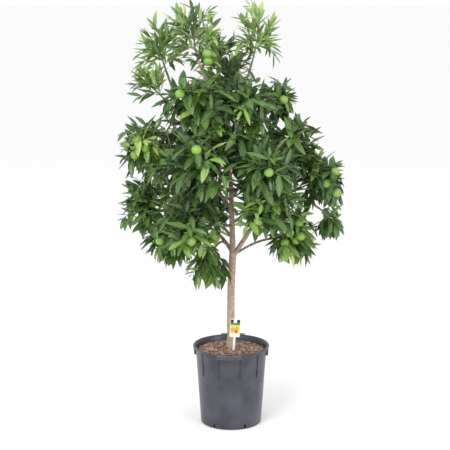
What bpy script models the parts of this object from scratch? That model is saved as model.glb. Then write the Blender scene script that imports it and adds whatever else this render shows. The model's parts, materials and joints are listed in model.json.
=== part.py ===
"""A potted standard orange tree: pot, soil, plant label, trunk, boughs and masses of foliage.

Units are metres. The origin is the middle of the pot's flat underside, +Z is up,
+X is to the right of the tree's front and the front faces -Y.
"""

import math
import random
from collections import namedtuple

import bmesh
import bpy
from mathutils import Matrix, Vector
from mathutils.bvhtree import BVHTree

# Clearance between neighbouring solids
GAP = 0.0003

# Pot, a tapered nursery container with a broad lip and two hand grips
POT_HEIGHT = 0.338
POT_SIDES = 28
POT_TURN = math.radians(-3.0)
WALL_TOP_RADIUS = 0.151
WALL_FOOT_RADIUS = 0.129
WALL_THICKNESS = 0.003
FLOOR_THICKNESS = 0.004
LIP_RADIUS = 0.1625
LIP_INNER_RADIUS = 0.1535
LIP_DEPTH = 0.011
LIP_ROUNDING = 0.0025
GRIP_RADIUS = 0.185
GRIP_HALF_ANGLE = math.radians(16.5)
GRIP_PLATE = 0.0035
GRIP_APRON = 0.0145
GRIP_TOP = POT_HEIGHT - 0.0015
RIB_LENGTH = 0.110
RIB_PROUD = 0.0035
RIB_WIDTH = 0.0028
RIB_ANGLES = (18.0, 51.0)
LUG_RADIUS = 0.161
LUG_WIDTH = 0.016
LUG_DEPTH = 0.040
SLOT_COUNT = 6
SLOT_FIRST_ANGLE = math.radians(30.0)
SLOT_WIDTH = 0.008
SLOT_HEIGHT = 0.015

# Soil, mounded towards the trunk
SOIL_SIDES = POT_SIDES
SOIL_EDGE = 0.312
SOIL_TOP = 0.330
SOIL_FLAT_RADIUS = 0.034
SOIL_ROUGHNESS = 0.0022
SOIL_SEED = 5

# Plant label, a card on a flat stick pushed into the soil
CARD_WIDTH = 0.043
CARD_HEIGHT = 0.079
CARD_THICKNESS = 0.0012
CARD_CORNER = 0.003
STICK_WIDTH = 0.009
STICK_THICKNESS = 0.0022
STICK_LENGTH = 0.120
STICK_IN_SOIL = 0.045
LABEL_FOOT = Vector((0.0095, -0.060, 0.322))
LABEL_LEAN = math.radians(3.6)

# Trunk and boughs
TRUNK_ROUTE = (
    (0.0015, 0.006, SOIL_TOP + GAP),
    (-0.0015, 0.004, 0.450),
    (0.0005, 0.001, 0.600),
    (0.0075, 0.0, 0.744),
)
TRUNK_RADIUS = 0.0168
TRUNK_TOP_RADIUS = 0.0152
ROOT_FLARE = 0.007
ROOT_FLARE_HEIGHT = 0.050
TRUNK_SIDES = 12
BOUGH_SIDES = 5
BOUGH_STEPS = 5
BOUGH_TIP_RADIUS = 0.0046
LEADER_TIP_RADIUS = 0.0052

# Foliage
GOLDEN_ANGLE = math.radians(137.508)
SPACE_MARGIN = 0.001
STEM_RADIUS = 0.0044
STEM_TIP_RADIUS = 0.0034
STEM_STRAIGHT = 0.008
SHOOT_RADIUS = 0.0017
SHOOT_TIP_RADIUS = 0.0014
LEAF_FOLD = 0.11
LEAF_WIDEST = 0.45
LEAF_SHARES = (1.0, 0.85, 0.70, 0.55)
LEAF_SEED = 1000
FRUIT_RADIUS = 0.0205
UP = Vector((0.0, 0.0, 1.0))

# How each kind of mass grows: the leaf's size, its angle to the shoot and how far it hangs
Habit = namedtuple("Habit", "spread shoots leaves leaf_length leaf_width leaf_angle droop rise")
HABITS = {
    "upright": Habit(math.radians(115), 6, 4, 0.108, 0.037, math.radians(38), 0.00, 0.04),
    "bushy": Habit(math.radians(155), 6, 4, 0.136, 0.062, math.radians(72), 0.35, 0.06),
    "hanging": Habit(math.radians(140), 5, 4, 0.122, 0.050, math.radians(60), 0.80, 0.05),
}

# Masses of foliage: the middle and half-size of each one's space, where its longest shoots end
# and where its fruit hangs, both as shares of the half-size, and the way its stem heads
Mass = namedtuple("Mass", "habit middle reach heading tips fruit seed")
MASSES = {
    "top_left": Mass(
        "upright", (-0.288, 0.03, 1.550), (0.112, 0.13, 0.160), (-0.15, 0.0, 1.0),
        ((-0.75, 0.0, 0.55), (0.1, 0.1, 1.0)), (), 13011),
    "top_middle": Mass(
        "upright", (-0.153, -0.04, 1.600), (0.125, 0.13, 0.205), (0.0, 0.0, 1.0),
        ((0.15, 0.0, 1.0), (-0.9, 0.0, 0.45), (0.85, 0.0, 0.5)),
        ((0.45, -0.63, -0.14), (0.48, -0.59, -0.29), (0.50, -0.50, -0.51)), 9312),
    "top_right": Mass(
        "upright", (0.106, 0.01, 1.600), (0.105, 0.13, 0.200), (0.05, 0.0, 1.0),
        ((0.15, 0.0, 1.0), (0.95, 0.0, 0.35), (-0.9, 0.0, 0.4)), (), 16413),
    "top_back": Mass(
        "upright", (-0.054, 0.20, 1.530), (0.140, 0.13, 0.130), (0.0, 0.3, 1.0),
        ((0.1, 0.5, 0.85),), (), 9135),
    "upper_middle": Mass(
        "upright", (-0.024, 0.02, 1.480), (0.130, 0.13, 0.100), (0.3, 0.0, 1.0),
        ((0.3, -0.2, 0.9),), (), 8036),
    "left_shoulder": Mass(
        "upright", (-0.324, 0.00, 1.430), (0.100, 0.13, 0.090), (-0.8, 0.0, 0.6),
        ((-0.85, 0.0, 0.6), (-0.2, 0.0, 0.9)), (), 14014),
    "upper_front": Mass(
        "bushy", (-0.129, -0.19, 1.370), (0.165, 0.17, 0.145), (-0.3, -0.8, 0.5),
        ((-0.9, -0.2, 0.1),), ((-0.43, -0.59, 0.38),), 6315),
    "upper_right": Mass(
        "bushy", (0.056, -0.15, 1.370), (0.130, 0.16, 0.135), (0.2, -0.6, 0.7),
        ((0.0, -0.3, 0.95),), ((-0.48, -0.63, -0.09),), 6016),
    "right_shoulder": Mass(
        "bushy", (0.176, 0.03, 1.370), (0.092, 0.14, 0.110), (0.6, 0.0, 0.7),
        ((0.85, 0.0, 0.4),), ((0.38, -0.66, 0.12), (-0.59, -0.58, -0.13)), 5217),
    "back_upper": Mass(
        "bushy", (-0.054, 0.24, 1.350), (0.190, 0.17, 0.150), (0.0, 0.7, 0.7),
        ((0.0, 0.9, 0.3), (0.0, 0.3, 0.9)), ((0.3, 0.7, 0.1),), 10718),
    "left_middle": Mass(
        "bushy", (-0.314, 0.00, 1.175), (0.172, 0.18, 0.145), (-1.0, 0.0, 0.3),
        ((-1.0, 0.0, 0.2), (-0.5, 0.0, 0.85)),
        ((-0.38, -0.62, 0.34), (-0.44, -0.64, -0.07), (-0.17, -0.70, 0.12)), 6819),
    "front_left": Mass(
        "bushy", (-0.153, -0.27, 1.140), (0.180, 0.17, 0.160), (-0.3, -0.9, 0.3),
        ((0.0, -0.95, 0.1),), ((0.12, -0.48, 0.74), (0.10, -0.63, 0.49)), 7420),
    "front_middle": Mass(
        "bushy", (-0.018, -0.20, 1.225), (0.120, 0.16, 0.130), (0.0, -0.9, 0.5),
        ((0.0, -0.9, 0.2),), (), 6537),
    "front_right": Mass(
        "bushy", (0.112, -0.25, 1.140), (0.165, 0.17, 0.160), (0.3, -0.9, 0.3),
        ((0.0, -0.95, 0.1),),
        ((0.33, -0.46, 0.70), (0.78, -0.45, -0.03), (0.18, -0.71, -0.06)), 4021),
    "right_middle": Mass(
        "bushy", (0.241, -0.03, 1.185), (0.130, 0.17, 0.140), (0.5, 0.0, 0.8),
        ((0.5, 0.0, 0.85), (0.95, 0.0, 0.1)), ((0.01, -0.42, -0.75),), 6522),
    "back_left": Mass(
        "bushy", (-0.174, 0.27, 1.130), (0.180, 0.18, 0.165), (-0.3, 0.9, 0.3),
        ((-0.2, 0.95, 0.1),), ((-0.3, 0.7, 0.2), (0.4, 0.6, -0.2)), 11223),
    "back_right": Mass(
        "bushy", (0.132, 0.27, 1.120), (0.180, 0.18, 0.165), (0.3, 0.9, 0.3),
        ((0.3, 0.95, 0.1),), ((0.2, 0.7, -0.2),), 4424),
    "left_lower": Mass(
        "bushy", (-0.324, -0.02, 0.950), (0.170, 0.17, 0.125), (-1.0, 0.0, 0.2),
        ((-1.0, 0.0, 0.13), (-0.5, 0.0, 0.85), (-0.6, 0.0, -0.7)), (), 13425),
    "right_outer": Mass(
        "bushy", (0.368, 0.00, 1.045), (0.140, 0.15, 0.120), (1.0, 0.0, 0.3),
        ((0.98, 0.0, -0.2), (0.1, 0.0, 0.9)),
        ((0.40, -0.59, 0.41), (0.14, -0.71, 0.03), (0.44, -0.61, -0.31), (0.70, -0.43, -0.31)), 6126),
    "low_front_left": Mass(
        "bushy", (-0.159, -0.21, 0.920), (0.165, 0.17, 0.140), (-0.3, -0.9, 0.1),
        ((0.0, -0.9, -0.3),), ((-0.04, -0.51, 0.71), (0.01, -0.62, -0.50)), 17427),
    "low_front_right": Mass(
        "bushy", (0.151, -0.15, 0.965), (0.155, 0.17, 0.145), (0.3, -0.9, 0.1),
        ((0.2, -0.9, -0.2),), ((-0.29, -0.65, -0.31),), 10128),
    "low_back_left": Mass(
        "bushy", (-0.159, 0.22, 0.900), (0.175, 0.17, 0.140), (-0.3, 0.9, 0.1),
        ((0.0, 0.9, -0.3),), ((0.2, 0.6, -0.3),), 12129),
    "low_back_right": Mass(
        "bushy", (0.157, 0.21, 0.920), (0.160, 0.17, 0.130), (0.3, 0.9, 0.1),
        ((0.3, 0.9, -0.3),), ((-0.2, 0.7, 0.1),), 11430),
    "skirt_left": Mass(
        "hanging", (-0.229, -0.02, 0.800), (0.135, 0.14, 0.110), (-0.7, 0.0, -0.5),
        ((-0.6, 0.0, -0.7), (0.3, 0.0, -0.9)), ((-0.47, -0.63, 0.09),), 10231),
    "skirt_front": Mass(
        "hanging", (-0.089, -0.11, 0.725), (0.100, 0.11, 0.120), (-0.2, -0.4, -0.8),
        ((-0.3, 0.0, -0.95),), ((0.75, -0.43, 0.04),), 8732),
    "right_low": Mass(
        "hanging", (0.252, -0.03, 0.815), (0.105, 0.12, 0.135), (0.3, 0.0, -0.7),
        ((-0.62, 0.0, -0.78), (0.7, 0.0, -0.4)),
        ((-0.10, -0.50, 0.55), (0.25, -0.40, 0.48), (-0.12, -0.60, 0.20), (0.32, -0.58, 0.08),
         (-0.28, -0.40, -0.14), (0.15, -0.45, -0.06)), 8833),
    "right_tail": Mass(
        "hanging", (0.406, 0.02, 0.880), (0.085, 0.10, 0.085), (0.4, 0.0, -0.7),
        ((0.75, 0.0, 0.3), (-0.2, 0.0, -0.9)), ((-0.30, -0.27, 0.70),), 8434),
}

# Boughs: the limb each grows from and the share of that limb's length, its root's thickness
# as a share of that limb's, and the points it passes on the way to its mass
Bough = namedtuple("Bough", "parent share thickness via")
BOUGHS = {
    "top_middle": Bough(
        "trunk", 0.96, 0.84,
        ((-0.001, 0.0, 0.780), (0.003, 0.0, 0.856), (0.003, 0.0, 0.940), (-0.011, 0.003, 1.100),
         (-0.049, 0.003, 1.280))),
    "right_outer": Bough(
        "trunk", 0.94, 0.72,
        ((0.020, 0.0, 0.752), (0.058, 0.0, 0.793), (0.091, 0.0, 0.852), (0.183, 0.0, 0.962))),
    "left_lower": Bough(
        "top_middle", 0.01, 0.66, ((-0.021, 0.002, 0.778), (-0.044, 0.0, 0.812), (-0.153, -0.01, 0.880))),
    "right_low": Bough("right_outer", 0.03, 0.48, ((0.080, -0.004, 0.770), (0.146, -0.008, 0.795))),
    "low_back_left": Bough("top_middle", 0.09, 0.60, ((-0.054, 0.080, 0.850),)),
    "low_front_left": Bough("top_middle", 0.15, 0.60, ((-0.054, -0.075, 0.870),)),
    "back_left": Bough("top_middle", 0.23, 0.62, ((-0.064, 0.110, 1.000),)),
    "front_left": Bough("top_middle", 0.28, 0.62, ((-0.059, -0.110, 1.010),)),
    "left_middle": Bough("top_middle", 0.33, 0.64, ((-0.123, 0.0, 1.060),)),
    "front_middle": Bough("top_middle", 0.42, 0.56, ((-0.015, -0.070, 1.150),)),
    "front_right": Bough("top_middle", 0.37, 0.60, ((0.041, -0.110, 1.040),)),
    "back_right": Bough("top_middle", 0.31, 0.62, ((0.051, 0.110, 1.020),)),
    "top_left": Bough("top_middle", 0.44, 0.70, ((-0.104, 0.010, 1.180), (-0.204, 0.020, 1.330))),
    "upper_front": Bough("top_middle", 0.55, 0.60, ((-0.069, -0.080, 1.230),)),
    "back_upper": Bough("top_middle", 0.60, 0.62, ((-0.054, 0.090, 1.260),)),
    "right_shoulder": Bough("top_middle", 0.51, 0.62, ((0.061, 0.010, 1.220),)),
    "upper_right": Bough("top_middle", 0.65, 0.58, ((0.002, -0.050, 1.270),)),
    "top_right": Bough("top_middle", 0.70, 0.72, ((0.017, 0.010, 1.330),)),
    "top_back": Bough("back_upper", 0.45, 0.66, ((-0.059, 0.140, 1.370),)),
    "upper_middle": Bough("top_right", 0.30, 0.60, ((-0.004, 0.015, 1.380),)),
    "left_shoulder": Bough("top_left", 0.45, 0.58, ((-0.234, 0.010, 1.340),)),
    "low_front_right": Bough("right_outer", 0.33, 0.56, ((0.097, -0.070, 0.890),)),
    "low_back_right": Bough("right_outer", 0.22, 0.60, ((0.076, 0.080, 0.850),)),
    "right_middle": Bough("right_outer", 0.60, 0.70, ((0.201, -0.010, 1.040),)),
    "right_tail": Bough("right_outer", 0.80, 0.55, ((0.337, 0.012, 0.945),)),
    "skirt_left": Bough("left_lower", 0.42, 0.58, ((-0.139, -0.015, 0.845),)),
    "skirt_front": Bough("left_lower", 0.14, 0.55, ((-0.049, -0.050, 0.790),)),
}

Limb = namedtuple("Limb", "route radii sides")
Space = namedtuple("Space", "middle reach walls")
Leaf = namedtuple("Leaf", "root axis up length width")


def clear_scene():
    for item in list(bpy.data.objects):
        bpy.data.objects.remove(item, do_unlink=True)


def material(name, colour, roughness):
    made = bpy.data.materials.new(name)
    made.use_nodes = True
    shader = made.node_tree.nodes["Principled BSDF"]
    shader.inputs["Base Color"].default_value = (*colour, 1.0)
    shader.inputs["Roughness"].default_value = roughness
    return made


def mesh_object(name, vertices, faces, finish=None):
    mesh = bpy.data.meshes.new(name)
    mesh.from_pydata([tuple(v) for v in vertices], [], faces)
    made = bpy.data.objects.new(name, mesh)
    bpy.context.scene.collection.objects.link(made)
    if finish is not None:
        mesh.materials.append(finish)
    return made


def smooth_round(made, degrees=35.0):
    made.data.shade_smooth()
    made.data.set_sharp_from_angle(angle=math.radians(degrees))


def turned(profile, sides):
    """A closed solid turned round Z from (radius, height) points that start and end on the axis."""
    vertices = []
    rings = []
    for radius, height in profile:
        if radius == 0.0:
            rings.append([len(vertices)] * sides)
            vertices.append((0.0, 0.0, height))
            continue
        rings.append(list(range(len(vertices), len(vertices) + sides)))
        for step in range(sides):
            angle = 2 * math.pi * step / sides
            vertices.append((radius * math.cos(angle), radius * math.sin(angle), height))
    faces = []
    for lower, upper in zip(rings, rings[1:]):
        for step in range(sides):
            after = (step + 1) % sides
            corners = [lower[step], lower[after], upper[after], upper[step]]
            faces.append(tuple(dict.fromkeys(corners)))
    return vertices, faces


def arc_block(radii, heights, angles, steps):
    """A closed block bent round Z between two radii, two heights and two angles."""
    vertices = []
    for step in range(steps + 1):
        angle = angles[0] + (angles[1] - angles[0]) * step / steps
        for radius, height in ((radii[0], heights[0]), (radii[1], heights[0]),
                               (radii[1], heights[1]), (radii[0], heights[1])):
            vertices.append((radius * math.sin(angle), -radius * math.cos(angle), height))
    faces = [(0, 3, 2, 1)]
    for step in range(steps):
        base = 4 * step
        for side in range(4):
            after = (side + 1) % 4
            faces.append((base + side, base + after, base + 4 + after, base + 4 + side))
    last = 4 * steps
    faces.append((last, last + 1, last + 2, last + 3))
    return vertices, faces


def wall_radius(height):
    share = height / (POT_HEIGHT - LIP_DEPTH)
    return WALL_FOOT_RADIUS + (WALL_TOP_RADIUS - WALL_FOOT_RADIUS) * share


def radial_fin(angle, width, low, high, inner_low, inner_high, outer_low, outer_high):
    """A thin upright plate that stands out from the pot's wall at one angle."""
    out = Vector((math.sin(angle), -math.cos(angle), 0.0))
    side = Vector((math.cos(angle), math.sin(angle), 0.0)) * (width / 2)
    outline = ((inner_low, low), (outer_low, low), (outer_high, high), (inner_high, high))
    vertices = []
    for sign in (-1, 1):
        for radius, height in outline:
            vertices.append(out * radius + side * sign + UP * height)
    faces = [(0, 1, 2, 3), (4, 7, 6, 5)]
    for step in range(4):
        after = (step + 1) % 4
        faces.append((step, step + 4, after + 4, after))
    return vertices, faces


def unite(base, others, solver="EXACT"):
    """Fuse solids into the base with one Boolean union, apply it and remove the others."""
    group = bpy.data.collections.new("fused")
    bpy.context.scene.collection.children.link(group)
    for other in others:
        bpy.context.scene.collection.objects.unlink(other)
        group.objects.link(other)
    fuse = base.modifiers.new("fuse", "BOOLEAN")
    fuse.operation = "UNION"
    fuse.operand_type = "COLLECTION"
    fuse.collection = group
    fuse.solver = solver
    apply_modifiers(base)
    for other in others:
        bpy.data.objects.remove(other, do_unlink=True)
    bpy.data.collections.remove(group)


def cut(base, cutter):
    """Take a cutter's space out of a solid, apply the cut and remove the cutter."""
    cutter.hide_render = True
    cutter.display_type = "WIRE"
    trim = base.modifiers.new("trim", "BOOLEAN")
    trim.operation = "DIFFERENCE"
    trim.object = cutter
    trim.solver = "EXACT"
    apply_modifiers(base)
    bpy.data.objects.remove(cutter, do_unlink=True)


def apply_modifiers(made):
    bpy.context.view_layer.update()
    depsgraph = bpy.context.evaluated_depsgraph_get()
    result = bpy.data.meshes.new_from_object(made.evaluated_get(depsgraph))
    made.modifiers.clear()
    old = made.data
    made.data = result
    bpy.data.meshes.remove(old)


def keep_largest(made):
    """Drop the loose scraps and sealed hollows that fusing can leave."""
    edit = bmesh.new()
    edit.from_mesh(made.data)
    remaining = set(edit.verts)
    groups = []
    while remaining:
        stack = [remaining.pop()]
        group = list(stack)
        while stack:
            vertex = stack.pop()
            for edge in vertex.link_edges:
                other = edge.other_vert(vertex)
                if other in remaining:
                    remaining.remove(other)
                    stack.append(other)
                    group.append(other)
        groups.append(group)
    groups.sort(key=len)
    for group in groups[:-1]:
        bmesh.ops.delete(edit, geom=group, context="VERTS")
    edit.to_mesh(made.data)
    edit.free()


def build_pot(finish):
    lip_low = POT_HEIGHT - LIP_DEPTH
    inner_wall = WALL_TOP_RADIUS - WALL_THICKNESS
    profile = (
        (0.0, 0.0),
        (WALL_FOOT_RADIUS - LIP_ROUNDING, 0.0),
        (WALL_FOOT_RADIUS, LIP_ROUNDING),
        (WALL_TOP_RADIUS, lip_low),
        (LIP_RADIUS - LIP_ROUNDING, lip_low),
        (LIP_RADIUS, lip_low + LIP_ROUNDING),
        (LIP_RADIUS, POT_HEIGHT - LIP_ROUNDING),
        (LIP_RADIUS - LIP_ROUNDING, POT_HEIGHT),
        (LIP_INNER_RADIUS + LIP_ROUNDING, POT_HEIGHT),
        (LIP_INNER_RADIUS, POT_HEIGHT - LIP_ROUNDING),
        (inner_wall, lip_low - LIP_ROUNDING),
        (WALL_FOOT_RADIUS - WALL_THICKNESS, FLOOR_THICKNESS),
        (0.0, FLOOR_THICKNESS),
    )
    pot = mesh_object("pot", *turned(profile, POT_SIDES), finish)
    pieces = []
    for middle in (POT_TURN, POT_TURN + math.pi):
        pieces += build_grip(middle)
        for degrees in RIB_ANGLES:
            for side in (-1, 1):
                pieces.append(build_rib(middle + side * math.radians(degrees), lip_low + LIP_DEPTH / 2))
    for angle in (POT_TURN + math.pi / 2, POT_TURN - math.pi / 2):
        top = lip_low + LIP_DEPTH / 2
        low = top - LUG_DEPTH
        shape = radial_fin(angle, LUG_WIDTH, low, top, wall_radius(low) - 0.001, wall_radius(lip_low) - 0.001,
                           wall_radius(low) + 0.009, LUG_RADIUS)
        pieces.append(mesh_object("lug", *shape))
    unite(pot, pieces)
    for index in range(SLOT_COUNT):
        angle = POT_TURN + SLOT_FIRST_ANGLE + index * 2 * math.pi / SLOT_COUNT
        shape = radial_fin(angle, SLOT_WIDTH, FLOOR_THICKNESS + 0.001, FLOOR_THICKNESS + 0.001 + SLOT_HEIGHT,
                           WALL_FOOT_RADIUS - 0.010, WALL_FOOT_RADIUS - 0.010,
                           WALL_FOOT_RADIUS + 0.010, WALL_FOOT_RADIUS + 0.010)
        cut(pot, mesh_object("slot_cutter", *shape))
    keep_largest(pot)
    smooth_round(pot)
    return pot


def build_grip(middle):
    """One hand grip: a plate beyond the lip, its turned-down edge and two end plates."""
    angles = (middle - GRIP_HALF_ANGLE, middle + GRIP_HALF_ANGLE)
    root = LIP_RADIUS - 0.006
    low = GRIP_TOP - GRIP_APRON
    plate = arc_block((root, GRIP_RADIUS), (GRIP_TOP - GRIP_PLATE, GRIP_TOP), angles, 6)
    apron = arc_block((GRIP_RADIUS - GRIP_PLATE * 0.8, GRIP_RADIUS), (low, GRIP_TOP), angles, 6)
    pieces = [mesh_object("grip_plate", *plate), mesh_object("grip_apron", *apron)]
    inset = RIB_WIDTH / 2 / GRIP_RADIUS
    for angle in (angles[0] + inset, angles[1] - inset):
        wall = wall_radius(low) - 0.001
        end = radial_fin(angle, RIB_WIDTH, low + 0.001, GRIP_TOP - 0.001, wall, wall + 0.004,
                         GRIP_RADIUS - 0.001, GRIP_RADIUS - 0.001)
        pieces.append(mesh_object("grip_end", *end))
    return pieces


def build_rib(angle, top):
    low = top - RIB_LENGTH
    shape = radial_fin(angle, RIB_WIDTH, low, top, wall_radius(low) - 0.001, wall_radius(top) - 0.001,
                       wall_radius(low) + RIB_PROUD, wall_radius(top) + RIB_PROUD)
    return mesh_object("rib", *shape)


def build_soil(finish):
    draw = random.Random(SOIL_SEED)
    foot = FLOOR_THICKNESS + GAP
    foot_radius = WALL_FOOT_RADIUS - WALL_THICKNESS - 2 * GAP
    edge_radius = wall_radius(SOIL_EDGE) - WALL_THICKNESS - 2.5 * GAP
    radii = [edge_radius, edge_radius * 0.86, edge_radius * 0.66, edge_radius * 0.44, SOIL_FLAT_RADIUS]
    vertices, faces = turned(
        [(0.0, foot), (foot_radius, foot)]
        + [(radius, soil_height(radius, edge_radius)) for radius in radii]
        + [(0.0, SOIL_TOP)], SOIL_SIDES)
    first_loose = 1 + 2 * SOIL_SIDES
    last_loose = 1 + 5 * SOIL_SIDES
    for index in range(first_loose, last_loose):
        x, y, z = vertices[index]
        vertices[index] = (x, y, z + draw.uniform(-SOIL_ROUGHNESS, SOIL_ROUGHNESS))
    soil = mesh_object("soil", vertices, faces, finish)
    cut(soil, label_shape("stick_cutter", None, GAP, with_card=False))
    keep_largest(soil)
    smooth_round(soil)
    return soil


def soil_height(radius, edge_radius):
    share = 1 - (radius - SOIL_FLAT_RADIUS) / (edge_radius - SOIL_FLAT_RADIUS)
    return SOIL_EDGE + (SOIL_TOP - SOIL_EDGE) * math.sin(math.pi / 2 * min(1.0, max(0.0, share)))


def box_shape(low, high):
    vertices = [(x, y, z) for z in (low[2], high[2]) for y in (low[1], high[1]) for x in (low[0], high[0])]
    faces = [(0, 2, 3, 1), (4, 5, 7, 6), (0, 1, 5, 4), (2, 6, 7, 3), (0, 4, 6, 2), (1, 3, 7, 5)]
    return vertices, faces


def card_shape():
    """The card's plate, with its corners cut off, standing on the stick's top."""
    half = CARD_WIDTH / 2
    low = STICK_LENGTH - STICK_IN_SOIL - 0.010
    high = low + CARD_HEIGHT
    outline = []
    for x, z, turn in ((half, low, 0), (half, high, 1), (-half, high, 2), (-half, low, 3)):
        inward_x = -math.copysign(CARD_CORNER, x)
        inward_z = CARD_CORNER if z == low else -CARD_CORNER
        pair = [(x + inward_x, z), (x, z + inward_z)]
        outline += pair if turn in (0, 2) else pair[::-1]
    count = len(outline)
    depth = CARD_THICKNESS / 2
    vertices = [(x, -depth, z) for x, z in outline] + [(x, depth, z) for x, z in outline]
    faces = [tuple(range(count)), tuple(range(2 * count - 1, count - 1, -1))]
    for step in range(count):
        after = (step + 1) % count
        faces.append((step, step + count, after + count, after))
    return vertices, faces


def label_shape(name, finish, grow, with_card):
    """The label's stick, grown by a clearance for its slit in the soil, and the card on it."""
    half = STICK_WIDTH / 2 + grow
    depth = STICK_THICKNESS / 2 + grow
    top = STICK_LENGTH - STICK_IN_SOIL
    stick = mesh_object(name, *box_shape((-half, -depth, -STICK_IN_SOIL - grow), (half, depth, top)), finish)
    if with_card:
        unite(stick, [mesh_object("card", *card_shape())])
    placing = Matrix.Translation(LABEL_FOOT) @ Matrix.Rotation(LABEL_LEAN, 4, "Y")
    stick.data.transform(placing)
    return stick


def smooth_route(points, steps):
    """Points spaced along a smooth curve through the given points."""
    points = [Vector(p) for p in points]
    padded = [points[0] * 2 - points[1]] + points + [points[-1] * 2 - points[-2]]
    dense = []
    for index in range(1, len(padded) - 2):
        a, b, c, d = padded[index - 1:index + 3]
        for part in range(8):
            t = part / 8
            dense.append(0.5 * ((2 * b) + (c - a) * t + (2 * a - 5 * b + 4 * c - d) * t ** 2
                                + (3 * b - a - 3 * c + d) * t ** 3))
    dense.append(points[-1])
    lengths = [0.0]
    for before, after in zip(dense, dense[1:]):
        lengths.append(lengths[-1] + (after - before).length)
    route = []
    for step in range(steps + 1):
        wanted = lengths[-1] * step / steps
        index = next((i for i, length in enumerate(lengths) if length >= wanted - 1e-9), len(lengths) - 1)
        if index == 0:
            route.append(dense[0].copy())
            continue
        share = (wanted - lengths[index - 1]) / (lengths[index] - lengths[index - 1])
        route.append(dense[index - 1].lerp(dense[index], share))
    return route


def along(route, share):
    """The point at a share of an evenly spaced route, and the direction there."""
    place = min(max(share, 0.0), 1.0) * (len(route) - 1)
    index = min(int(place), len(route) - 2)
    point = route[index].lerp(route[index + 1], place - index)
    return point, (route[index + 1] - route[index]).normalized()


def tube(route, radii, sides, twist=0.0):
    """A closed limb along a route, with one radius for each of its points and flat ends."""
    vertices = []
    side = None
    for index, point in enumerate(route):
        before = route[max(index - 1, 0)]
        after = route[min(index + 1, len(route) - 1)]
        ahead = (after - before).normalized()
        if side is None:
            if ahead.z > 0.98:
                ahead = UP
            side = ahead.orthogonal()
        side = (side - ahead * side.dot(ahead)).normalized()
        other = ahead.cross(side)
        for step in range(sides):
            angle = twist + 2 * math.pi * step / sides
            vertices.append(point + (side * math.cos(angle) + other * math.sin(angle)) * radii[index])
    faces = [tuple(range(sides - 1, -1, -1))]
    for index in range(len(route) - 1):
        base = index * sides
        for step in range(sides):
            after = (step + 1) % sides
            faces.append((base + step, base + after, base + sides + after, base + sides + step))
    last = (len(route) - 1) * sides
    faces.append(tuple(range(last, last + sides)))
    return vertices, faces


def trunk_limb():
    steps = 10
    route = smooth_route(TRUNK_ROUTE, steps)
    radii = []
    for point in route:
        rise = point.z - SOIL_TOP
        share = rise / (route[-1].z - SOIL_TOP)
        flare = ROOT_FLARE * max(0.0, 1 - rise / ROOT_FLARE_HEIGHT) ** 2
        radii.append(TRUNK_RADIUS + (TRUNK_TOP_RADIUS - TRUNK_RADIUS) * share + flare)
    return Limb(route, radii, TRUNK_SIDES)


def make_spaces():
    """Each mass's own space: an ellipsoid cut back where it would meet its neighbours'."""
    spaces = {}
    for name, mass in MASSES.items():
        middle = Vector(mass.middle)
        walls = []
        for other_name, other in MASSES.items():
            if other_name == name:
                continue
            apart = Vector(other.middle) - middle
            distance = apart.length
            ahead = apart / distance
            own = depth_along(mass.reach, ahead)
            theirs = depth_along(other.reach, ahead)
            if own + theirs + 2 * SPACE_MARGIN > distance:
                walls.append((ahead, distance * own / (own + theirs) - SPACE_MARGIN))
        spaces[name] = Space(middle, Vector(mass.reach), walls)
    return spaces


def depth_along(reach, direction):
    return math.sqrt(sum((reach[axis] * direction[axis]) ** 2 for axis in range(3)))


def holds(space, point):
    offset = point - space.middle
    if sum((offset[axis] / space.reach[axis]) ** 2 for axis in range(3)) > 1.0:
        return False
    return all(offset.dot(ahead) < limit for ahead, limit in space.walls)


def way_out(space, start, direction):
    """The distance from a point inside a space to its edge."""
    offset = start - space.middle
    scaled_start = Vector([offset[axis] / space.reach[axis] for axis in range(3)])
    scaled_way = Vector([direction[axis] / space.reach[axis] for axis in range(3)])
    a = scaled_way.dot(scaled_way)
    b = scaled_start.dot(scaled_way)
    c = scaled_start.dot(scaled_start) - 1.0
    distance = (-b + math.sqrt(max(b * b - a * c, 0.0))) / a
    for ahead, limit in space.walls:
        slope = direction.dot(ahead)
        if slope > 1e-9:
            distance = min(distance, (limit - offset.dot(ahead)) / slope)
    return max(distance, 0.0)


def bough_limb(name, limbs, spaces):
    """The limb that leaves its parent and ends where it enters its mass's space."""
    bough = BOUGHS[name]
    parent = limbs[bough.parent]
    root, _ = along(parent.route, bough.share)
    space = spaces[name]
    dense = smooth_route([root, *bough.via, space.middle], 60)
    entry = next(index for index, point in enumerate(dense) if index > 20 and holds(space, point))
    end = min(entry + 4, 56)
    route = smooth_route([dense[round(end * step / 6)] for step in range(7)], BOUGH_STEPS)
    place = bough.share * (len(parent.radii) - 1)
    index = min(int(place), len(parent.radii) - 2)
    parent_radius = parent.radii[index] + (parent.radii[index + 1] - parent.radii[index]) * (place - index)
    first = parent_radius * bough.thickness
    last = LEADER_TIP_RADIUS if bough.parent == "trunk" else BOUGH_TIP_RADIUS
    count = len(route)
    radii = [first + (last - first) * (step / (count - 1)) ** 0.8 for step in range(count)]
    return Limb(route, radii, BOUGH_SIDES + (2 if bough.parent == "trunk" else 0))


def make_limbs(spaces):
    limbs = {"trunk": trunk_limb()}
    for name in BOUGHS:
        limbs[name] = bough_limb(name, limbs, spaces)
    return limbs


def limb_tree(limb, grow):
    """A search tree of a limb's surface, a little thicker than the limb."""
    ahead = (limb.route[-1] - limb.route[-2]).normalized()
    route = limb.route[:-1] + [limb.route[-1] + ahead * grow]
    return BVHTree.FromPolygons(*tube(route, [radius + grow for radius in limb.radii], limb.sides))


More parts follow.
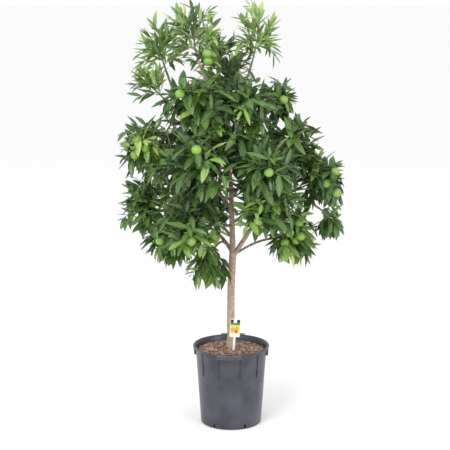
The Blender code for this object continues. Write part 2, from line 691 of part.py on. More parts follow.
def build_limbs(limbs, finish):
    names = list(limbs)
    for index, name in enumerate(names):
        limb = limbs[name]
        title = "trunk" if name == "trunk" else "bough_" + name
        made = mesh_object(title, *tube(limb.route, limb.radii, limb.sides), finish)
        own = BVHTree.FromPolygons(*tube(limb.route, limb.radii, limb.sides))
        for other in names[:index]:
            if own.overlap(limb_tree(limbs[other], 2 * GAP)):
                cut(made, enlarged(limbs[other]))
                keep_largest(made)
        smooth_round(made)


def enlarged(limb):
    ahead = (limb.route[-1] - limb.route[-2]).normalized()
    route = limb.route[:-1] + [limb.route[-1] + ahead * GAP]
    return mesh_object("limb_cutter", *tube(route, [radius + 1.1 * GAP for radius in limb.radii], limb.sides))


def even_directions(heading, spread, count, turn):
    """Directions spread evenly within an angle of a heading."""
    side = heading.orthogonal().normalized()
    other = heading.cross(side)
    directions = []
    for index in range(count):
        cosine = 1 - (index + 0.5) / count * (1 - math.cos(spread))
        sine = math.sqrt(max(0.0, 1 - cosine * cosine))
        angle = turn + index * GOLDEN_ANGLE
        across = side * math.cos(angle) + other * math.sin(angle)
        directions.append((heading * cosine + across * sine, math.acos(cosine) / spread))
    return directions


def stem_route(limb, space, heading):
    """The stem of a mass, from just clear of its bough's tip to past the middle of its space."""
    tip, ahead = limb.route[-1], (limb.route[-1] - limb.route[-2]).normalized()
    start = tip + ahead * GAP
    bend = start + ahead * STEM_STRAIGHT
    end = space.middle + heading * way_out(space, space.middle, heading) * 0.30
    middle = bend + ahead * (end - bend).length * 0.5
    return [start] + bezier(bend, middle, end, 3)


def bezier(first, second, third, steps):
    route = []
    for step in range(steps + 1):
        t = step / steps
        route.append(first * (1 - t) ** 2 + second * 2 * t * (1 - t) + third * t * t)
    return route


def shoot_route(space, stem, share, target, rise, steps):
    """A shoot that leaves the stem forwards and bends to its end."""
    start, ahead = along(stem, share)
    way = target - start
    middle = start + way * 0.35 + ahead * way.length * 0.18 + UP * rise * way.length
    if not holds(space, middle):
        middle = start.lerp(target, 0.5)
    return bezier(start, middle, target, steps)


def shoot_targets(mass, space, draw):
    """Where a mass's shoots end: its named tips first, then points spread by the seeded rule."""
    habit = HABITS[mass.habit]
    targets = []
    for tip in mass.tips:
        offset = Vector([tip[axis] * space.reach[axis] for axis in range(3)])
        outward = offset.normalized()
        distance = min(offset.length, way_out(space, space.middle, outward)) - habit.leaf_length * 0.86
        targets.append((space.middle + outward * max(distance, 0.02), 0.75))
    heading = Vector(mass.heading).normalized()
    count = habit.shoots - len(mass.tips)
    for outward, wide in even_directions(heading, habit.spread, count, draw.uniform(0, 2 * math.pi)):
        outward = (outward + Vector([draw.uniform(-0.15, 0.15) for _ in range(3)])).normalized()
        reach = way_out(space, space.middle, outward)
        distance = reach * draw.uniform(0.50, 0.82)
        targets.append((space.middle + outward * distance, 0.95 - 0.6 * wide))
    return targets


def leaf_frame(axis, outward, draw):
    """The upper side of a leaf: up, turned a little outwards and at random."""
    lean = Vector([draw.uniform(-0.35, 0.35) for _ in range(3)])
    up = UP + outward * 0.45 + lean
    up -= axis * up.dot(axis)
    if up.length < 0.05:
        up = axis.orthogonal()
    return up.normalized()


def shoot_leaves(mass, space, route, draw):
    """Leaves set in turn on the three sides of a shoot, with one at its end."""
    habit = HABITS[mass.habit]
    leaves = []
    turn = draw.choice((1, 3, 5)) * math.pi / 3
    for index in range(habit.leaves):
        share = 1.0 if index == habit.leaves - 1 else 0.34 + 0.58 * index / max(1, habit.leaves - 2)
        root, ahead = along(route, share)
        side = ahead.orthogonal().normalized()
        other = ahead.cross(side)
        angle = turn + index * 2 * math.pi / 3 + draw.uniform(-0.2, 0.2)
        across = side * math.cos(angle) + other * math.sin(angle)
        opening = 0.12 if share == 1.0 else habit.leaf_angle * draw.uniform(0.8, 1.2)
        axis = ahead * math.cos(opening) + across * math.sin(opening)
        axis.z -= habit.droop * draw.uniform(0.6, 1.3)
        axis.normalize()
        outward = (root - space.middle).normalized()
        up = leaf_frame(axis, outward, draw)
        length = habit.leaf_length * draw.uniform(0.88, 1.10)
        leaves.append(Leaf(root, axis, up, length, length * habit.leaf_width / habit.leaf_length))
    return leaves


def leaf_shape(leaf, sunk):
    """A folded blade of four faces with a raised midrib, its root sunk into the shoot."""
    root = leaf.root - leaf.axis * sunk
    tip = leaf.root + leaf.axis * leaf.length
    middle = root.lerp(tip, LEAF_WIDEST) - leaf.up * leaf.width * LEAF_FOLD
    side = leaf.axis.cross(leaf.up) * (leaf.width / 2)
    return [root, tip, middle - side, middle + side], [(0, 1, 2), (1, 0, 3), (0, 2, 3), (1, 3, 2)]


def ball_shape(middle, radius):
    """A fruit of six sides and four bands."""
    sides, bands = 6, 4
    vertices = [middle - UP * radius]
    for band in range(1, bands):
        height = -math.cos(math.pi * band / bands) * radius
        width = math.sin(math.pi * band / bands) * radius
        for step in range(sides):
            angle = 2 * math.pi * (step + 0.5 * (band % 2)) / sides
            vertices.append(middle + Vector((math.cos(angle) * width, math.sin(angle) * width, height)))
    vertices.append(middle + UP * radius)
    faces = []
    for step in range(sides):
        after = (step + 1) % sides
        faces.append((0, 1 + after, 1 + step))
        top = 1 + (bands - 2) * sides
        faces.append((top + step, top + after, len(vertices) - 1))
        for band in range(bands - 2):
            low = 1 + band * sides
            faces.append((low + step, low + after, low + sides + after, low + sides + step))
    return vertices, faces


def fits(shape, space, obstacles):
    vertices, faces = shape
    if not all(holds(space, vertex) for vertex in vertices):
        return False
    own = BVHTree.FromPolygons(vertices, faces)
    return not any(own.overlap(tree) for tree in obstacles)


def mass_shapes(name, limbs, trees, spaces):
    """The shoots, leaves and fruit of one mass, without those that touch a limb or each other."""
    mass = MASSES[name]
    habit = HABITS[mass.habit]
    space = spaces[name]
    limb_trees = list(trees.values())
    draw = random.Random(mass.seed)
    leaf_draw = random.Random(mass.seed + LEAF_SEED)
    stem = stem_route(limbs[name], space, Vector(mass.heading).normalized())
    shoots = [tube(stem, tapered(STEM_RADIUS, STEM_TIP_RADIUS, len(stem)), 3)]
    fruit, routes = mass_fruit(mass, space, stem, limb_trees)
    bearing = []
    for target, share in shoot_targets(mass, space, draw):
        route = shoot_route(space, stem, share, target, habit.rise, 2)
        if fits(shoot_shape(route), space, limb_trees):
            bearing.append(route)
    shoots += [shoot_shape(route) for route in routes + bearing]
    shoot_trees = [BVHTree.FromPolygons(*shape) for shape in shoots]
    taken = limb_trees + [BVHTree.FromPolygons(*ball) for ball in fruit]
    leaves = []
    for route in bearing:
        own = len(shoots) - len(bearing) + bearing.index(route)
        others = shoot_trees[:own] + shoot_trees[own + 1:]
        for leaf in shoot_leaves(mass, space, route, leaf_draw):
            shape = fitted_leaf(leaf, space, taken + others)
            if shape:
                leaves.append(shape)
                taken.append(BVHTree.FromPolygons(*shape))
    return shoots, leaves, fruit


def tapered(first, last, count):
    return [first + (last - first) * step / (count - 1) for step in range(count)]


def shoot_shape(route):
    return tube(route, tapered(SHOOT_RADIUS, SHOOT_TIP_RADIUS, len(route)), 3)


def fitted_leaf(leaf, space, obstacles):
    """The leaf's solid at the first of its allowed lengths that stays clear, or None."""
    room = way_out(space, leaf.root, leaf.axis) * 0.97
    for share in LEAF_SHARES:
        length = min(leaf.length * share, room)
        if length < leaf.length * LEAF_SHARES[-1]:
            return None
        shape = leaf_shape(leaf._replace(length=length), SHOOT_TIP_RADIUS * 0.3)
        if fits(shape, space, obstacles):
            return shape
    return None


def mass_fruit(mass, space, stem, limb_trees):
    """The fruit of a mass that stays clear of the limbs, and the shoot of each one."""
    fruit = []
    routes = []
    for share in mass.fruit:
        middle = space.middle + Vector([share[axis] * space.reach[axis] for axis in range(3)])
        ball = ball_shape(middle, FRUIT_RADIUS)
        route = fruit_route(space, stem, middle, limb_trees)
        if route and fits(ball, space, limb_trees):
            fruit.append(ball)
            routes.append(route)
    return fruit, routes


def fruit_route(space, stem, middle, limb_trees):
    """The shoot that a fruit hangs from, bent over above it and clear of the limbs, or None."""
    top = middle + UP * FRUIT_RADIUS * 0.6
    nearest = min(range(10), key=lambda step: (along(stem, step / 10)[0] - top).length) / 10
    for share in (nearest - 0.2, nearest, nearest + 0.2, 0.5, 0.8, 1.0):
        start, _ = along(stem, max(0.05, share))
        bend = start.lerp(top, 0.7) + UP * 0.012
        if not holds(space, bend):
            bend = start.lerp(top, 0.5)
        route = bezier(start, bend, top, 2)
        if fits(shoot_shape(route), space, limb_trees):
            return route
    return None


def build_mass(name, limbs, trees, spaces, finish):
    shoots, leaves, fruit = mass_shapes(name, limbs, trees, spaces)
    base = mesh_object("foliage_" + name, *shoots[0], finish)
    others = [mesh_object("shape", *shape) for shape in shoots[1:] + leaves + fruit]
    unite(base, others)
    keep_largest(base)


def main():
    clear_scene()
    plastic = material("black_plastic", (0.032, 0.032, 0.040), 0.38)
    compost = material("bark_compost", (0.100, 0.058, 0.040), 0.95)
    card = material("label_card", (0.80, 0.80, 0.76), 0.45)
    bark = material("bark", (0.42, 0.28, 0.20), 0.85)
    leaf = material("leaf", (0.070, 0.160, 0.030), 0.40)
    build_pot(plastic)
    build_soil(compost)
    label_shape("plant_label", card, 0.0, with_card=True)
    spaces = make_spaces()
    limbs = make_limbs(spaces)
    build_limbs(limbs, bark)
    trees = {name: limb_tree(limb, 2 * GAP) for name, limb in limbs.items()}
    for name in MASSES:
        build_mass(name, limbs, trees, spaces, leaf)


main()
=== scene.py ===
import json
import math
import random
from collections import namedtuple

import bpy
from mathutils import Matrix, Vector, noise
from mathutils.bvhtree import BVHTree

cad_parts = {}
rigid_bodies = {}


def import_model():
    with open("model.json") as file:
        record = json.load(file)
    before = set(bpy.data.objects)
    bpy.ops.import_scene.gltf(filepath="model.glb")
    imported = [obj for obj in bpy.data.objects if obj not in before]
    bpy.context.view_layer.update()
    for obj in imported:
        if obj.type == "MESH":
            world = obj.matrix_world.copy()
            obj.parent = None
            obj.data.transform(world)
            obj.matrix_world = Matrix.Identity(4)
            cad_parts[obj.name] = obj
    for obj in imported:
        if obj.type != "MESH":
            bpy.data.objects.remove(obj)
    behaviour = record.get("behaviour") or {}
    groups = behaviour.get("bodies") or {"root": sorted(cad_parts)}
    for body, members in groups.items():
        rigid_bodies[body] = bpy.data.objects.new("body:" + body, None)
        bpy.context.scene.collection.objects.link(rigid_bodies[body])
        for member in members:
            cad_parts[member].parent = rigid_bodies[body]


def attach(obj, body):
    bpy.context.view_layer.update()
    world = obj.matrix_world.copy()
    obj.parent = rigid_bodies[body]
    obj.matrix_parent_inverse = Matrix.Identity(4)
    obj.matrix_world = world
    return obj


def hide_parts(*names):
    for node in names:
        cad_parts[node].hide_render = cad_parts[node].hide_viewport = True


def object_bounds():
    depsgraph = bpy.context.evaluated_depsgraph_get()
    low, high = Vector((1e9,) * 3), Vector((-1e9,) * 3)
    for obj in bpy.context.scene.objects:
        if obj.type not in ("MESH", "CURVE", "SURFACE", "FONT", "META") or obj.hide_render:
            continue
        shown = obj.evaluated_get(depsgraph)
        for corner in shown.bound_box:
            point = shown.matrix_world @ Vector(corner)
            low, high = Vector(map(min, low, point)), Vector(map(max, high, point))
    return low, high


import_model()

LOADED_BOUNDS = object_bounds()
SCENE = bpy.context.scene

# Clearance between neighbouring solids
GAP = 0.0003

# Pot, a tapered nursery container with a broad lip and two hand grips
POT_HEIGHT = 0.338
POT_SIDES = 128
POT_TURN = math.radians(-3.0)
WALL_TOP_RADIUS = 0.151
WALL_FOOT_RADIUS = 0.129
WALL_THICKNESS = 0.003
FLOOR_THICKNESS = 0.004
LIP_RADIUS = 0.1625
LIP_INNER_RADIUS = 0.1535
LIP_DEPTH = 0.011
LIP_ROUNDING = 0.0025
GRIP_RADIUS = 0.185
GRIP_HALF_ANGLE = math.radians(16.5)
GRIP_PLATE = 0.0035
GRIP_STEPS = 24
GRIP_APRON = 0.0145
GRIP_TOP = POT_HEIGHT - 0.0015
RIB_LENGTH = 0.11
RIB_PROUD = 0.0035
RIB_WIDTH = 0.0028
RIB_ANGLES = (18.0, 51.0)
LUG_RADIUS = 0.161
LUG_WIDTH = 0.016
LUG_DEPTH = 0.04
SLOT_COUNT = 6
SLOT_FIRST_ANGLE = math.radians(30.0)
SLOT_WIDTH = 0.008
SLOT_HEIGHT = 0.015

# Soil, mounded towards the trunk
SOIL_EDGE = 0.312
SOIL_TOP = 0.33
SOIL_FLAT_RADIUS = 0.034
SOIL_SEED = 5

# Plant label, a card on a flat stick pushed into the soil
CARD_WIDTH = 0.043
CARD_HEIGHT = 0.079
CARD_THICKNESS = 0.0012
CARD_CORNER = 0.003
STICK_WIDTH = 0.009
STICK_THICKNESS = 0.0022
STICK_LENGTH = 0.12
STICK_IN_SOIL = 0.045
LABEL_FOOT = Vector((0.0095, -0.06, 0.322))
LABEL_LEAN = math.radians(3.6)

# Trunk and boughs
TRUNK_ROUTE = (
    (0.0015, 0.006, SOIL_TOP + GAP),
    (-0.0015, 0.004, 0.45),
    (0.0005, 0.001, 0.6),
    (0.0075, 0.0, 0.744),
)
TRUNK_RADIUS = 0.0168
TRUNK_TOP_RADIUS = 0.0152
ROOT_FLARE = 0.007
ROOT_FLARE_HEIGHT = 0.05
TRUNK_SIDES = 12
BOUGH_SIDES = 5
BOUGH_STEPS = 5
BOUGH_TIP_RADIUS = 0.0046
LEADER_TIP_RADIUS = 0.0052

# Foliage
GOLDEN_ANGLE = math.radians(137.508)
SPACE_MARGIN = 0.001
STEM_RADIUS = 0.0044
STEM_TIP_RADIUS = 0.0034
STEM_STRAIGHT = 0.008
SHOOT_RADIUS = 0.0017
SHOOT_TIP_RADIUS = 0.0014
FRUIT_RADIUS = 0.0205
UP = Vector((0.0, 0.0, 1.0))

# Growth shown on the masses: side twigs on each shoot, and leaves along both
SIDE_TWIGS = 4
SIDE_TWIG_SPAN = (0.25, 0.65)
SIDE_TWIG_AHEAD = 0.7
SIDE_TWIG_ACROSS = 0.8
SIDE_TWIG_RISE = 0.15
SIDE_TWIG_BEND = 0.12
TWIG_RADIUS = 0.0011
TWIG_TIP_RADIUS = 0.0007
TWIG_REACH = 0.085
TWIG_REACH_RANGE = (0.7, 1.2)
TWIG_LEAF_SCALE = 0.92
TWIG_KEEPS_SPRAY = 0.7
SHOOT_LEAF_COUNT = 9
TWIG_LEAF_COUNT = 6
GROWTH_SEED = 77

# Shown leaves: each habit's blade length and width, and how far past its space a mass may reach
LEAF_SIZES = {"upright": (0.07, 0.0185), "bushy": (0.094, 0.032), "hanging": (0.092, 0.029)}
SPREAD_OUT = 1.22
BOX_MARGIN = 0.007
FRUIT_CLEARANCE = 1.25
LEAF_SPAN = (0.15, 0.8)
LAST_LEAF_OPENING = 0.15
OPENING_RANGE = (0.7, 1.2)
DROOP_RANGE = (0.5, 1.4)
LENGTH_RANGE = (0.72, 1.18)
WIDTH_RANGE = (0.85, 1.15)
LEAF_TRIES = (1.0, 0.8, 0.62)

# The blade's points: stations along it, places across it, and the strips that are its midrib
LEAF_STATIONS = (0.07, 0.2, 0.36, 0.53, 0.7, 0.86)
LEAF_ACROSS = (-1.0, -0.55, -0.06, 0.0, 0.06, 0.55, 1.0)
MIDRIB_STRIPS = (2, 3)
OUTLINE_POWER = 0.85
LEAF_THICKNESS = 0.0005
FOLD_RANGE = (0.15, 0.55)
BEND_RANGE = (0.0, 0.13)
WAVE_RANGE = (0.02, 0.14)
WAVES_ALONG = 9.0
WAVES_ACROSS = 3.0

# Each spray's blade, underside and midrib colours, and its blade's roughness. The light and brightest sprays'
# blades are painted light: their green is the leaves' own, brightened to stand in for light shining through
# the leaves
SPRAYS = {
    "dark": ((0.05, 0.11, 0.022), (0.085, 0.15, 0.055), (0.15, 0.24, 0.08), 0.3),
    "middle": ((0.085, 0.175, 0.032), (0.12, 0.2, 0.07), (0.19, 0.3, 0.1), 0.32),
    "light": ((0.21, 0.36, 0.065), (0.19, 0.3, 0.1), (0.3, 0.42, 0.15), 0.36),
    "brightest_backlit": ((0.38, 0.54, 0.14), (0.33, 0.45, 0.17), (0.45, 0.56, 0.24), 0.42),
}
# The chance that a spray is dark, no lighter than middle, or no lighter than light
# The upright masses at the crown's top draw the painted-light sprays most often, so the top is painted
# lighter
SPRAY_LIMITS = {"upright": (0.1, 0.34, 0.7), "bushy": (0.5, 0.82, 0.95), "hanging": (0.38, 0.76, 0.96)}

# Shown fruit: its sides and bands, in the test of its room and as shown, then its dimples and calyx
FRUIT_ROOM = (6, 4)
FRUIT_ROUND = (28, 20)
FRUIT_FLATNESS = 0.96
FRUIT_DIMPLES = (0.06, 0.07)
DIMPLE_WIDTH = 0.3
FRUIT_SIZE_RANGE = (0.9, 0.99)
CALYX_HEIGHT = 0.0035
CALYX_RADII = (0.0042, 0.0016)

# Shown bark: the trunk's and a bough's sides, steps and relief
TRUNK_BARK = (40, 110, 0.0008)
BOUGH_BARK = (14, 36, 0.0004)
BARK_GRAIN = Vector((120.0, 120.0, 30.0))
PALE_LIMBS = ("trunk", "top_middle", "right_outer")

# Shown compost: its body's foot, sides and rings, and the chips on it
COMPOST_FOOT = 0.25
COMPOST_SIDES = 96
COMPOST_RINGS = 24
COMPOST_SUNK = 0.002
CHIP_COUNT = 1500
CHIP_SPREAD = 0.965
CHIP_SIZES = ((0.003, 0.009), (0.002, 0.005), (0.0008, 0.002))
CHIP_SUNK = 0.0015
CHIP_LIFT = (-0.001, 0.002)
CHIP_TILT = 0.5
CHIP_TURN = 6.28
CHIP_COLOURS = ((0.2, 0.115, 0.08), (0.32, 0.2, 0.15), (0.12, 0.07, 0.05), (0.44, 0.31, 0.24))

# Colours printed on the card, numbered from 0
CARD_COLOURS = {
    "white": (0.8, 0.8, 0.77),
    "green": (0.05, 0.23, 0.07),
    "fruit": (0.8, 0.33, 0.04),
    "ground": (0.78, 0.56, 0.12),
    "black": (0.012, 0.012, 0.014),
}
CARD_LOW = STICK_LENGTH - STICK_IN_SOIL - 0.01
CARD_PRINT = CARD_WIDTH / 2 - 0.0015
# Printed panels: left, right, bottom, top, how proud, and the colour's number
CARD_PANELS = (
    (-CARD_PRINT, CARD_PRINT, 0.016, 0.052, 0.00015, 3),
    (-CARD_PRINT, CARD_PRINT, 0.052, 0.062, 0.00018, 1),
    (-CARD_PRINT, -0.007, 0.062, CARD_HEIGHT - 0.0032, 0.00018, 4),
    (0.007, CARD_PRINT, 0.062, CARD_HEIGHT - 0.0032, 0.00018, 4),
)
# Printed discs: across, up, radius, how proud, and the colour's number
CARD_DISCS = (
    (-0.008, 0.032, 0.01, 0.0003, 2),
    (0.009, 0.038, 0.0085, 0.00034, 2),
    (0.006, 0.024, 0.0065, 0.00038, 1),
    (-0.008, 0.008, 0.0014, 0.0002, 4),
    (0.008, 0.008, 0.0014, 0.0002, 4),
)
PRINT_OVERLAP = 0.0001
STICK_FOOT = -0.012

# Stage: the floor, the two soft lights as place, size and power, and the camera
FLOOR_REACH = 400.0
FLOOR_DEPTH = -0.0005
LIGHTS = {"key": ((-1.8, -3.2, 3.6), 2.2, 110.0), "side": ((2.6, -2.4, 2.0), 2.0, 40.0)}
LIGHTS_AIM = Vector((0.0, 0.0, 1.0))
CAMERA_PLACE = (-0.026, -4.94, 1.78)
CAMERA_DIP = 10.6
CAMERA_LENS = 96.0
CAMERA_SENSOR = 36.0

# How each kind of mass grows: its shoots' spread and number, the room left for a leaf at their
# ends, the leaves' angle to the shoot, how far they hang and how far the shoots rise
Habit = namedtuple("Habit", "spread shoots leaf_length leaf_angle droop rise")
HABITS = {
    "upright": Habit(115, 6, 0.108, 38, 0.0, 0.04),
    "bushy": Habit(155, 6, 0.136, 72, 0.35, 0.06),
    "hanging": Habit(140, 5, 0.122, 60, 0.8, 0.05),
}

# Masses of foliage: the middle and half-size of each one's space, where its longest shoots end
# and where its fruit hangs, both as shares of the half-size, and the way its stem heads
Mass = namedtuple("Mass", "habit middle reach heading tips fruit seed")
MASSES = {name: Mass(*row) for name, row in {
    "top_left": ("upright", (-0.288, 0.03, 1.55), (0.112, 0.13, 0.16), (-0.15, 0, 1), ((-0.75, 0, 0.55),
        (0.1, 0.1, 1)), (), 13011),
    "top_middle": ("upright", (-0.153, -0.04, 1.6), (0.125, 0.13, 0.205), (0, 0, 1), ((0.15, 0, 1),
        (-0.9, 0, 0.45), (0.85, 0, 0.5)), ((0.45, -0.63, -0.14), (0.48, -0.59, -0.29), (0.5, -0.5, -0.51)),
        9312),
    "top_right": ("upright", (0.106, 0.01, 1.6), (0.105, 0.13, 0.2), (0.05, 0, 1), ((0.15, 0, 1),
        (0.95, 0, 0.35), (-0.9, 0, 0.4)), (), 16413),
    "top_back": ("upright", (-0.054, 0.2, 1.53), (0.14, 0.13, 0.13), (0, 0.3, 1), ((0.1, 0.5, 0.85),), (),
        9135),
    "upper_middle": ("upright", (-0.024, 0.02, 1.48), (0.13, 0.13, 0.1), (0.3, 0, 1), ((0.3, -0.2, 0.9),), (),
        8036),
    "left_shoulder": ("upright", (-0.324, 0, 1.43), (0.1, 0.13, 0.09), (-0.8, 0, 0.6), ((-0.85, 0, 0.6),
        (-0.2, 0, 0.9)), (), 14014),
    "upper_front": ("bushy", (-0.129, -0.19, 1.37), (0.165, 0.17, 0.145), (-0.3, -0.8, 0.5),
        ((-0.9, -0.2, 0.1),), ((-0.43, -0.59, 0.38),), 6315),
    "upper_right": ("bushy", (0.056, -0.15, 1.37), (0.13, 0.16, 0.135), (0.2, -0.6, 0.7), ((0, -0.3, 0.95),),
        ((-0.48, -0.63, -0.09),), 6016),
    "right_shoulder": ("bushy", (0.176, 0.03, 1.37), (0.092, 0.14, 0.11), (0.6, 0, 0.7), ((0.85, 0, 0.4),),
        ((0.38, -0.66, 0.12), (-0.59, -0.58, -0.13)), 5217),
    "back_upper": ("bushy", (-0.054, 0.24, 1.35), (0.19, 0.17, 0.15), (0, 0.7, 0.7), ((0, 0.9, 0.3),
        (0, 0.3, 0.9)), ((0.3, 0.7, 0.1),), 10718),
    "left_middle": ("bushy", (-0.314, 0, 1.175), (0.172, 0.18, 0.145), (-1, 0, 0.3), ((-1, 0, 0.2),
        (-0.5, 0, 0.85)), ((-0.38, -0.62, 0.34), (-0.44, -0.64, -0.07), (-0.17, -0.7, 0.12)), 6819),
    "front_left": ("bushy", (-0.153, -0.27, 1.14), (0.18, 0.17, 0.16), (-0.3, -0.9, 0.3), ((0, -0.95, 0.1),),
        ((0.12, -0.48, 0.74), (0.1, -0.63, 0.49)), 7420),
    "front_middle": ("bushy", (-0.018, -0.2, 1.225), (0.12, 0.16, 0.13), (0, -0.9, 0.5), ((0, -0.9, 0.2),),
        (), 6537),
    "front_right": ("bushy", (0.112, -0.25, 1.14), (0.165, 0.17, 0.16), (0.3, -0.9, 0.3), ((0, -0.95, 0.1),),
        ((0.33, -0.46, 0.7), (0.78, -0.45, -0.03), (0.18, -0.71, -0.06)), 4021),
    "right_middle": ("bushy", (0.241, -0.03, 1.185), (0.13, 0.17, 0.14), (0.5, 0, 0.8), ((0.5, 0, 0.85),
        (0.95, 0, 0.1)), ((0.01, -0.42, -0.75),), 6522),
    "back_left": ("bushy", (-0.174, 0.27, 1.13), (0.18, 0.18, 0.165), (-0.3, 0.9, 0.3), ((-0.2, 0.95, 0.1),),
        ((-0.3, 0.7, 0.2), (0.4, 0.6, -0.2)), 11223),
    "back_right": ("bushy", (0.132, 0.27, 1.12), (0.18, 0.18, 0.165), (0.3, 0.9, 0.3), ((0.3, 0.95, 0.1),),
        ((0.2, 0.7, -0.2),), 4424),
    "left_lower": ("bushy", (-0.324, -0.02, 0.95), (0.17, 0.17, 0.125), (-1, 0, 0.2), ((-1, 0, 0.13),
        (-0.5, 0, 0.85), (-0.6, 0, -0.7)), (), 13425),
    "right_outer": ("bushy", (0.368, 0, 1.045), (0.14, 0.15, 0.12), (1, 0, 0.3), ((0.98, 0, -0.2),
        (0.1, 0, 0.9)), ((0.4, -0.59, 0.41), (0.14, -0.71, 0.03), (0.44, -0.61, -0.31), (0.7, -0.43, -0.31)),
        6126),
    "low_front_left": ("bushy", (-0.159, -0.21, 0.92), (0.165, 0.17, 0.14), (-0.3, -0.9, 0.1),
        ((0, -0.9, -0.3),), ((-0.04, -0.51, 0.71), (0.01, -0.62, -0.5)), 17427),
    "low_front_right": ("bushy", (0.151, -0.15, 0.965), (0.155, 0.17, 0.145), (0.3, -0.9, 0.1),
        ((0.2, -0.9, -0.2),), ((-0.29, -0.65, -0.31),), 10128),
    "low_back_left": ("bushy", (-0.159, 0.22, 0.9), (0.175, 0.17, 0.14), (-0.3, 0.9, 0.1), ((0, 0.9, -0.3),),
        ((0.2, 0.6, -0.3),), 12129),
    "low_back_right": ("bushy", (0.157, 0.21, 0.92), (0.16, 0.17, 0.13), (0.3, 0.9, 0.1), ((0.3, 0.9, -0.3),),
        ((-0.2, 0.7, 0.1),), 11430),
    "skirt_left": ("hanging", (-0.229, -0.02, 0.8), (0.135, 0.14, 0.11), (-0.7, 0, -0.5), ((-0.6, 0, -0.7),
        (0.3, 0, -0.9)), ((-0.47, -0.63, 0.09),), 10231),
    "skirt_front": ("hanging", (-0.089, -0.11, 0.725), (0.1, 0.11, 0.12), (-0.2, -0.4, -0.8),
        ((-0.3, 0, -0.95),), ((0.75, -0.43, 0.04),), 8732),
    "right_low": ("hanging", (0.252, -0.03, 0.815), (0.105, 0.12, 0.135), (0.3, 0, -0.7), ((-0.62, 0, -0.78),
        (0.7, 0, -0.4)), ((-0.1, -0.5, 0.55), (0.25, -0.4, 0.48), (-0.12, -0.6, 0.2), (0.32, -0.58, 0.08),
        (-0.28, -0.4, -0.14), (0.15, -0.45, -0.06)), 8833),
    "right_tail": ("hanging", (0.406, 0.02, 0.88), (0.085, 0.1, 0.085), (0.4, 0, -0.7), ((0.75, 0, 0.3),
        (-0.2, 0, -0.9)), ((-0.3, -0.27, 0.7),), 8434),
}.items()}

# Boughs: the limb each grows from and the share of that limb's length, its root's thickness
# as a share of that limb's, and the points it passes on the way to its mass
Bough = namedtuple("Bough", "parent share thickness via")
BOUGHS = {name: Bough(*row) for name, row in {
    "top_middle": ("trunk", 0.96, 0.84, ((-0.001, 0, 0.78), (0.003, 0, 0.856), (0.003, 0, 0.94),
        (-0.011, 0.003, 1.1), (-0.049, 0.003, 1.28))),
    "right_outer": ("trunk", 0.94, 0.72, ((0.02, 0, 0.752), (0.058, 0, 0.793), (0.091, 0, 0.852),
        (0.183, 0, 0.962))),
    "left_lower": ("top_middle", 0.01, 0.66, ((-0.021, 0.002, 0.778), (-0.044, 0, 0.812),
        (-0.153, -0.01, 0.88))),
    "right_low": ("right_outer", 0.03, 0.48, ((0.08, -0.004, 0.77), (0.146, -0.008, 0.795))),
    "low_back_left": ("top_middle", 0.09, 0.6, ((-0.054, 0.08, 0.85),)),
    "low_front_left": ("top_middle", 0.15, 0.6, ((-0.054, -0.075, 0.87),)),
    "back_left": ("top_middle", 0.23, 0.62, ((-0.064, 0.11, 1),)),
    "front_left": ("top_middle", 0.28, 0.62, ((-0.059, -0.11, 1.01),)),
    "left_middle": ("top_middle", 0.33, 0.64, ((-0.123, 0, 1.06),)),
    "front_middle": ("top_middle", 0.42, 0.56, ((-0.015, -0.07, 1.15),)),
    "front_right": ("top_middle", 0.37, 0.6, ((0.041, -0.11, 1.04),)),
    "back_right": ("top_middle", 0.31, 0.62, ((0.051, 0.11, 1.02),)),
    "top_left": ("top_middle", 0.44, 0.7, ((-0.104, 0.01, 1.18), (-0.204, 0.02, 1.33))),
    "upper_front": ("top_middle", 0.55, 0.6, ((-0.069, -0.08, 1.23),)),
    "back_upper": ("top_middle", 0.6, 0.62, ((-0.054, 0.09, 1.26),)),
    "right_shoulder": ("top_middle", 0.51, 0.62, ((0.061, 0.01, 1.22),)),
    "upper_right": ("top_middle", 0.65, 0.58, ((0.002, -0.05, 1.27),)),
    "top_right": ("top_middle", 0.7, 0.72, ((0.017, 0.01, 1.33),)),
    "top_back": ("back_upper", 0.45, 0.66, ((-0.059, 0.14, 1.37),)),
    "upper_middle": ("top_right", 0.3, 0.6, ((-0.004, 0.015, 1.38),)),
    "left_shoulder": ("top_left", 0.45, 0.58, ((-0.234, 0.01, 1.34),)),
    "low_front_right": ("right_outer", 0.33, 0.56, ((0.097, -0.07, 0.89),)),
    "low_back_right": ("right_outer", 0.22, 0.6, ((0.076, 0.08, 0.85),)),
    "right_middle": ("right_outer", 0.6, 0.7, ((0.201, -0.01, 1.04),)),
    "right_tail": ("right_outer", 0.8, 0.55, ((0.337, 0.012, 0.945),)),
    "skirt_left": ("left_lower", 0.42, 0.58, ((-0.139, -0.015, 0.845),)),
    "skirt_front": ("left_lower", 0.14, 0.55, ((-0.049, -0.05, 0.79),)),
}.items()}

Limb = namedtuple("Limb", "route radii sides")
Space = namedtuple("Space", "middle reach walls")
Leaf = namedtuple("Leaf", "root axis up length width")


def mesh_object(name, vertices, faces, finish=None):
    mesh = bpy.data.meshes.new(name)
    mesh.from_pydata([tuple(v) for v in vertices], [], faces)
    made = bpy.data.objects.new(name, mesh)
    SCENE.collection.objects.link(made)
    if finish is not None:
        mesh.materials.append(finish)
    return made


def turned(profile, sides):
    """A closed solid turned round Z from (radius, height) points that start and end on the axis."""
    vertices = []
    rings = []
    for radius, height in profile:
        if radius == 0.0:
            rings.append([len(vertices)] * sides)
            vertices.append((0.0, 0.0, height))
            continue
        rings.append(list(range(len(vertices), len(vertices) + sides)))
        for step in range(sides):
            angle = 2 * math.pi * step / sides
            vertices.append((radius * math.cos(angle), radius * math.sin(angle), height))
    faces = []
    for lower, upper in zip(rings, rings[1:]):
        for step in range(sides):
            after = (step + 1) % sides
            corners = [lower[step], lower[after], upper[after], upper[step]]
            faces.append(tuple(dict.fromkeys(corners)))
    return vertices, faces


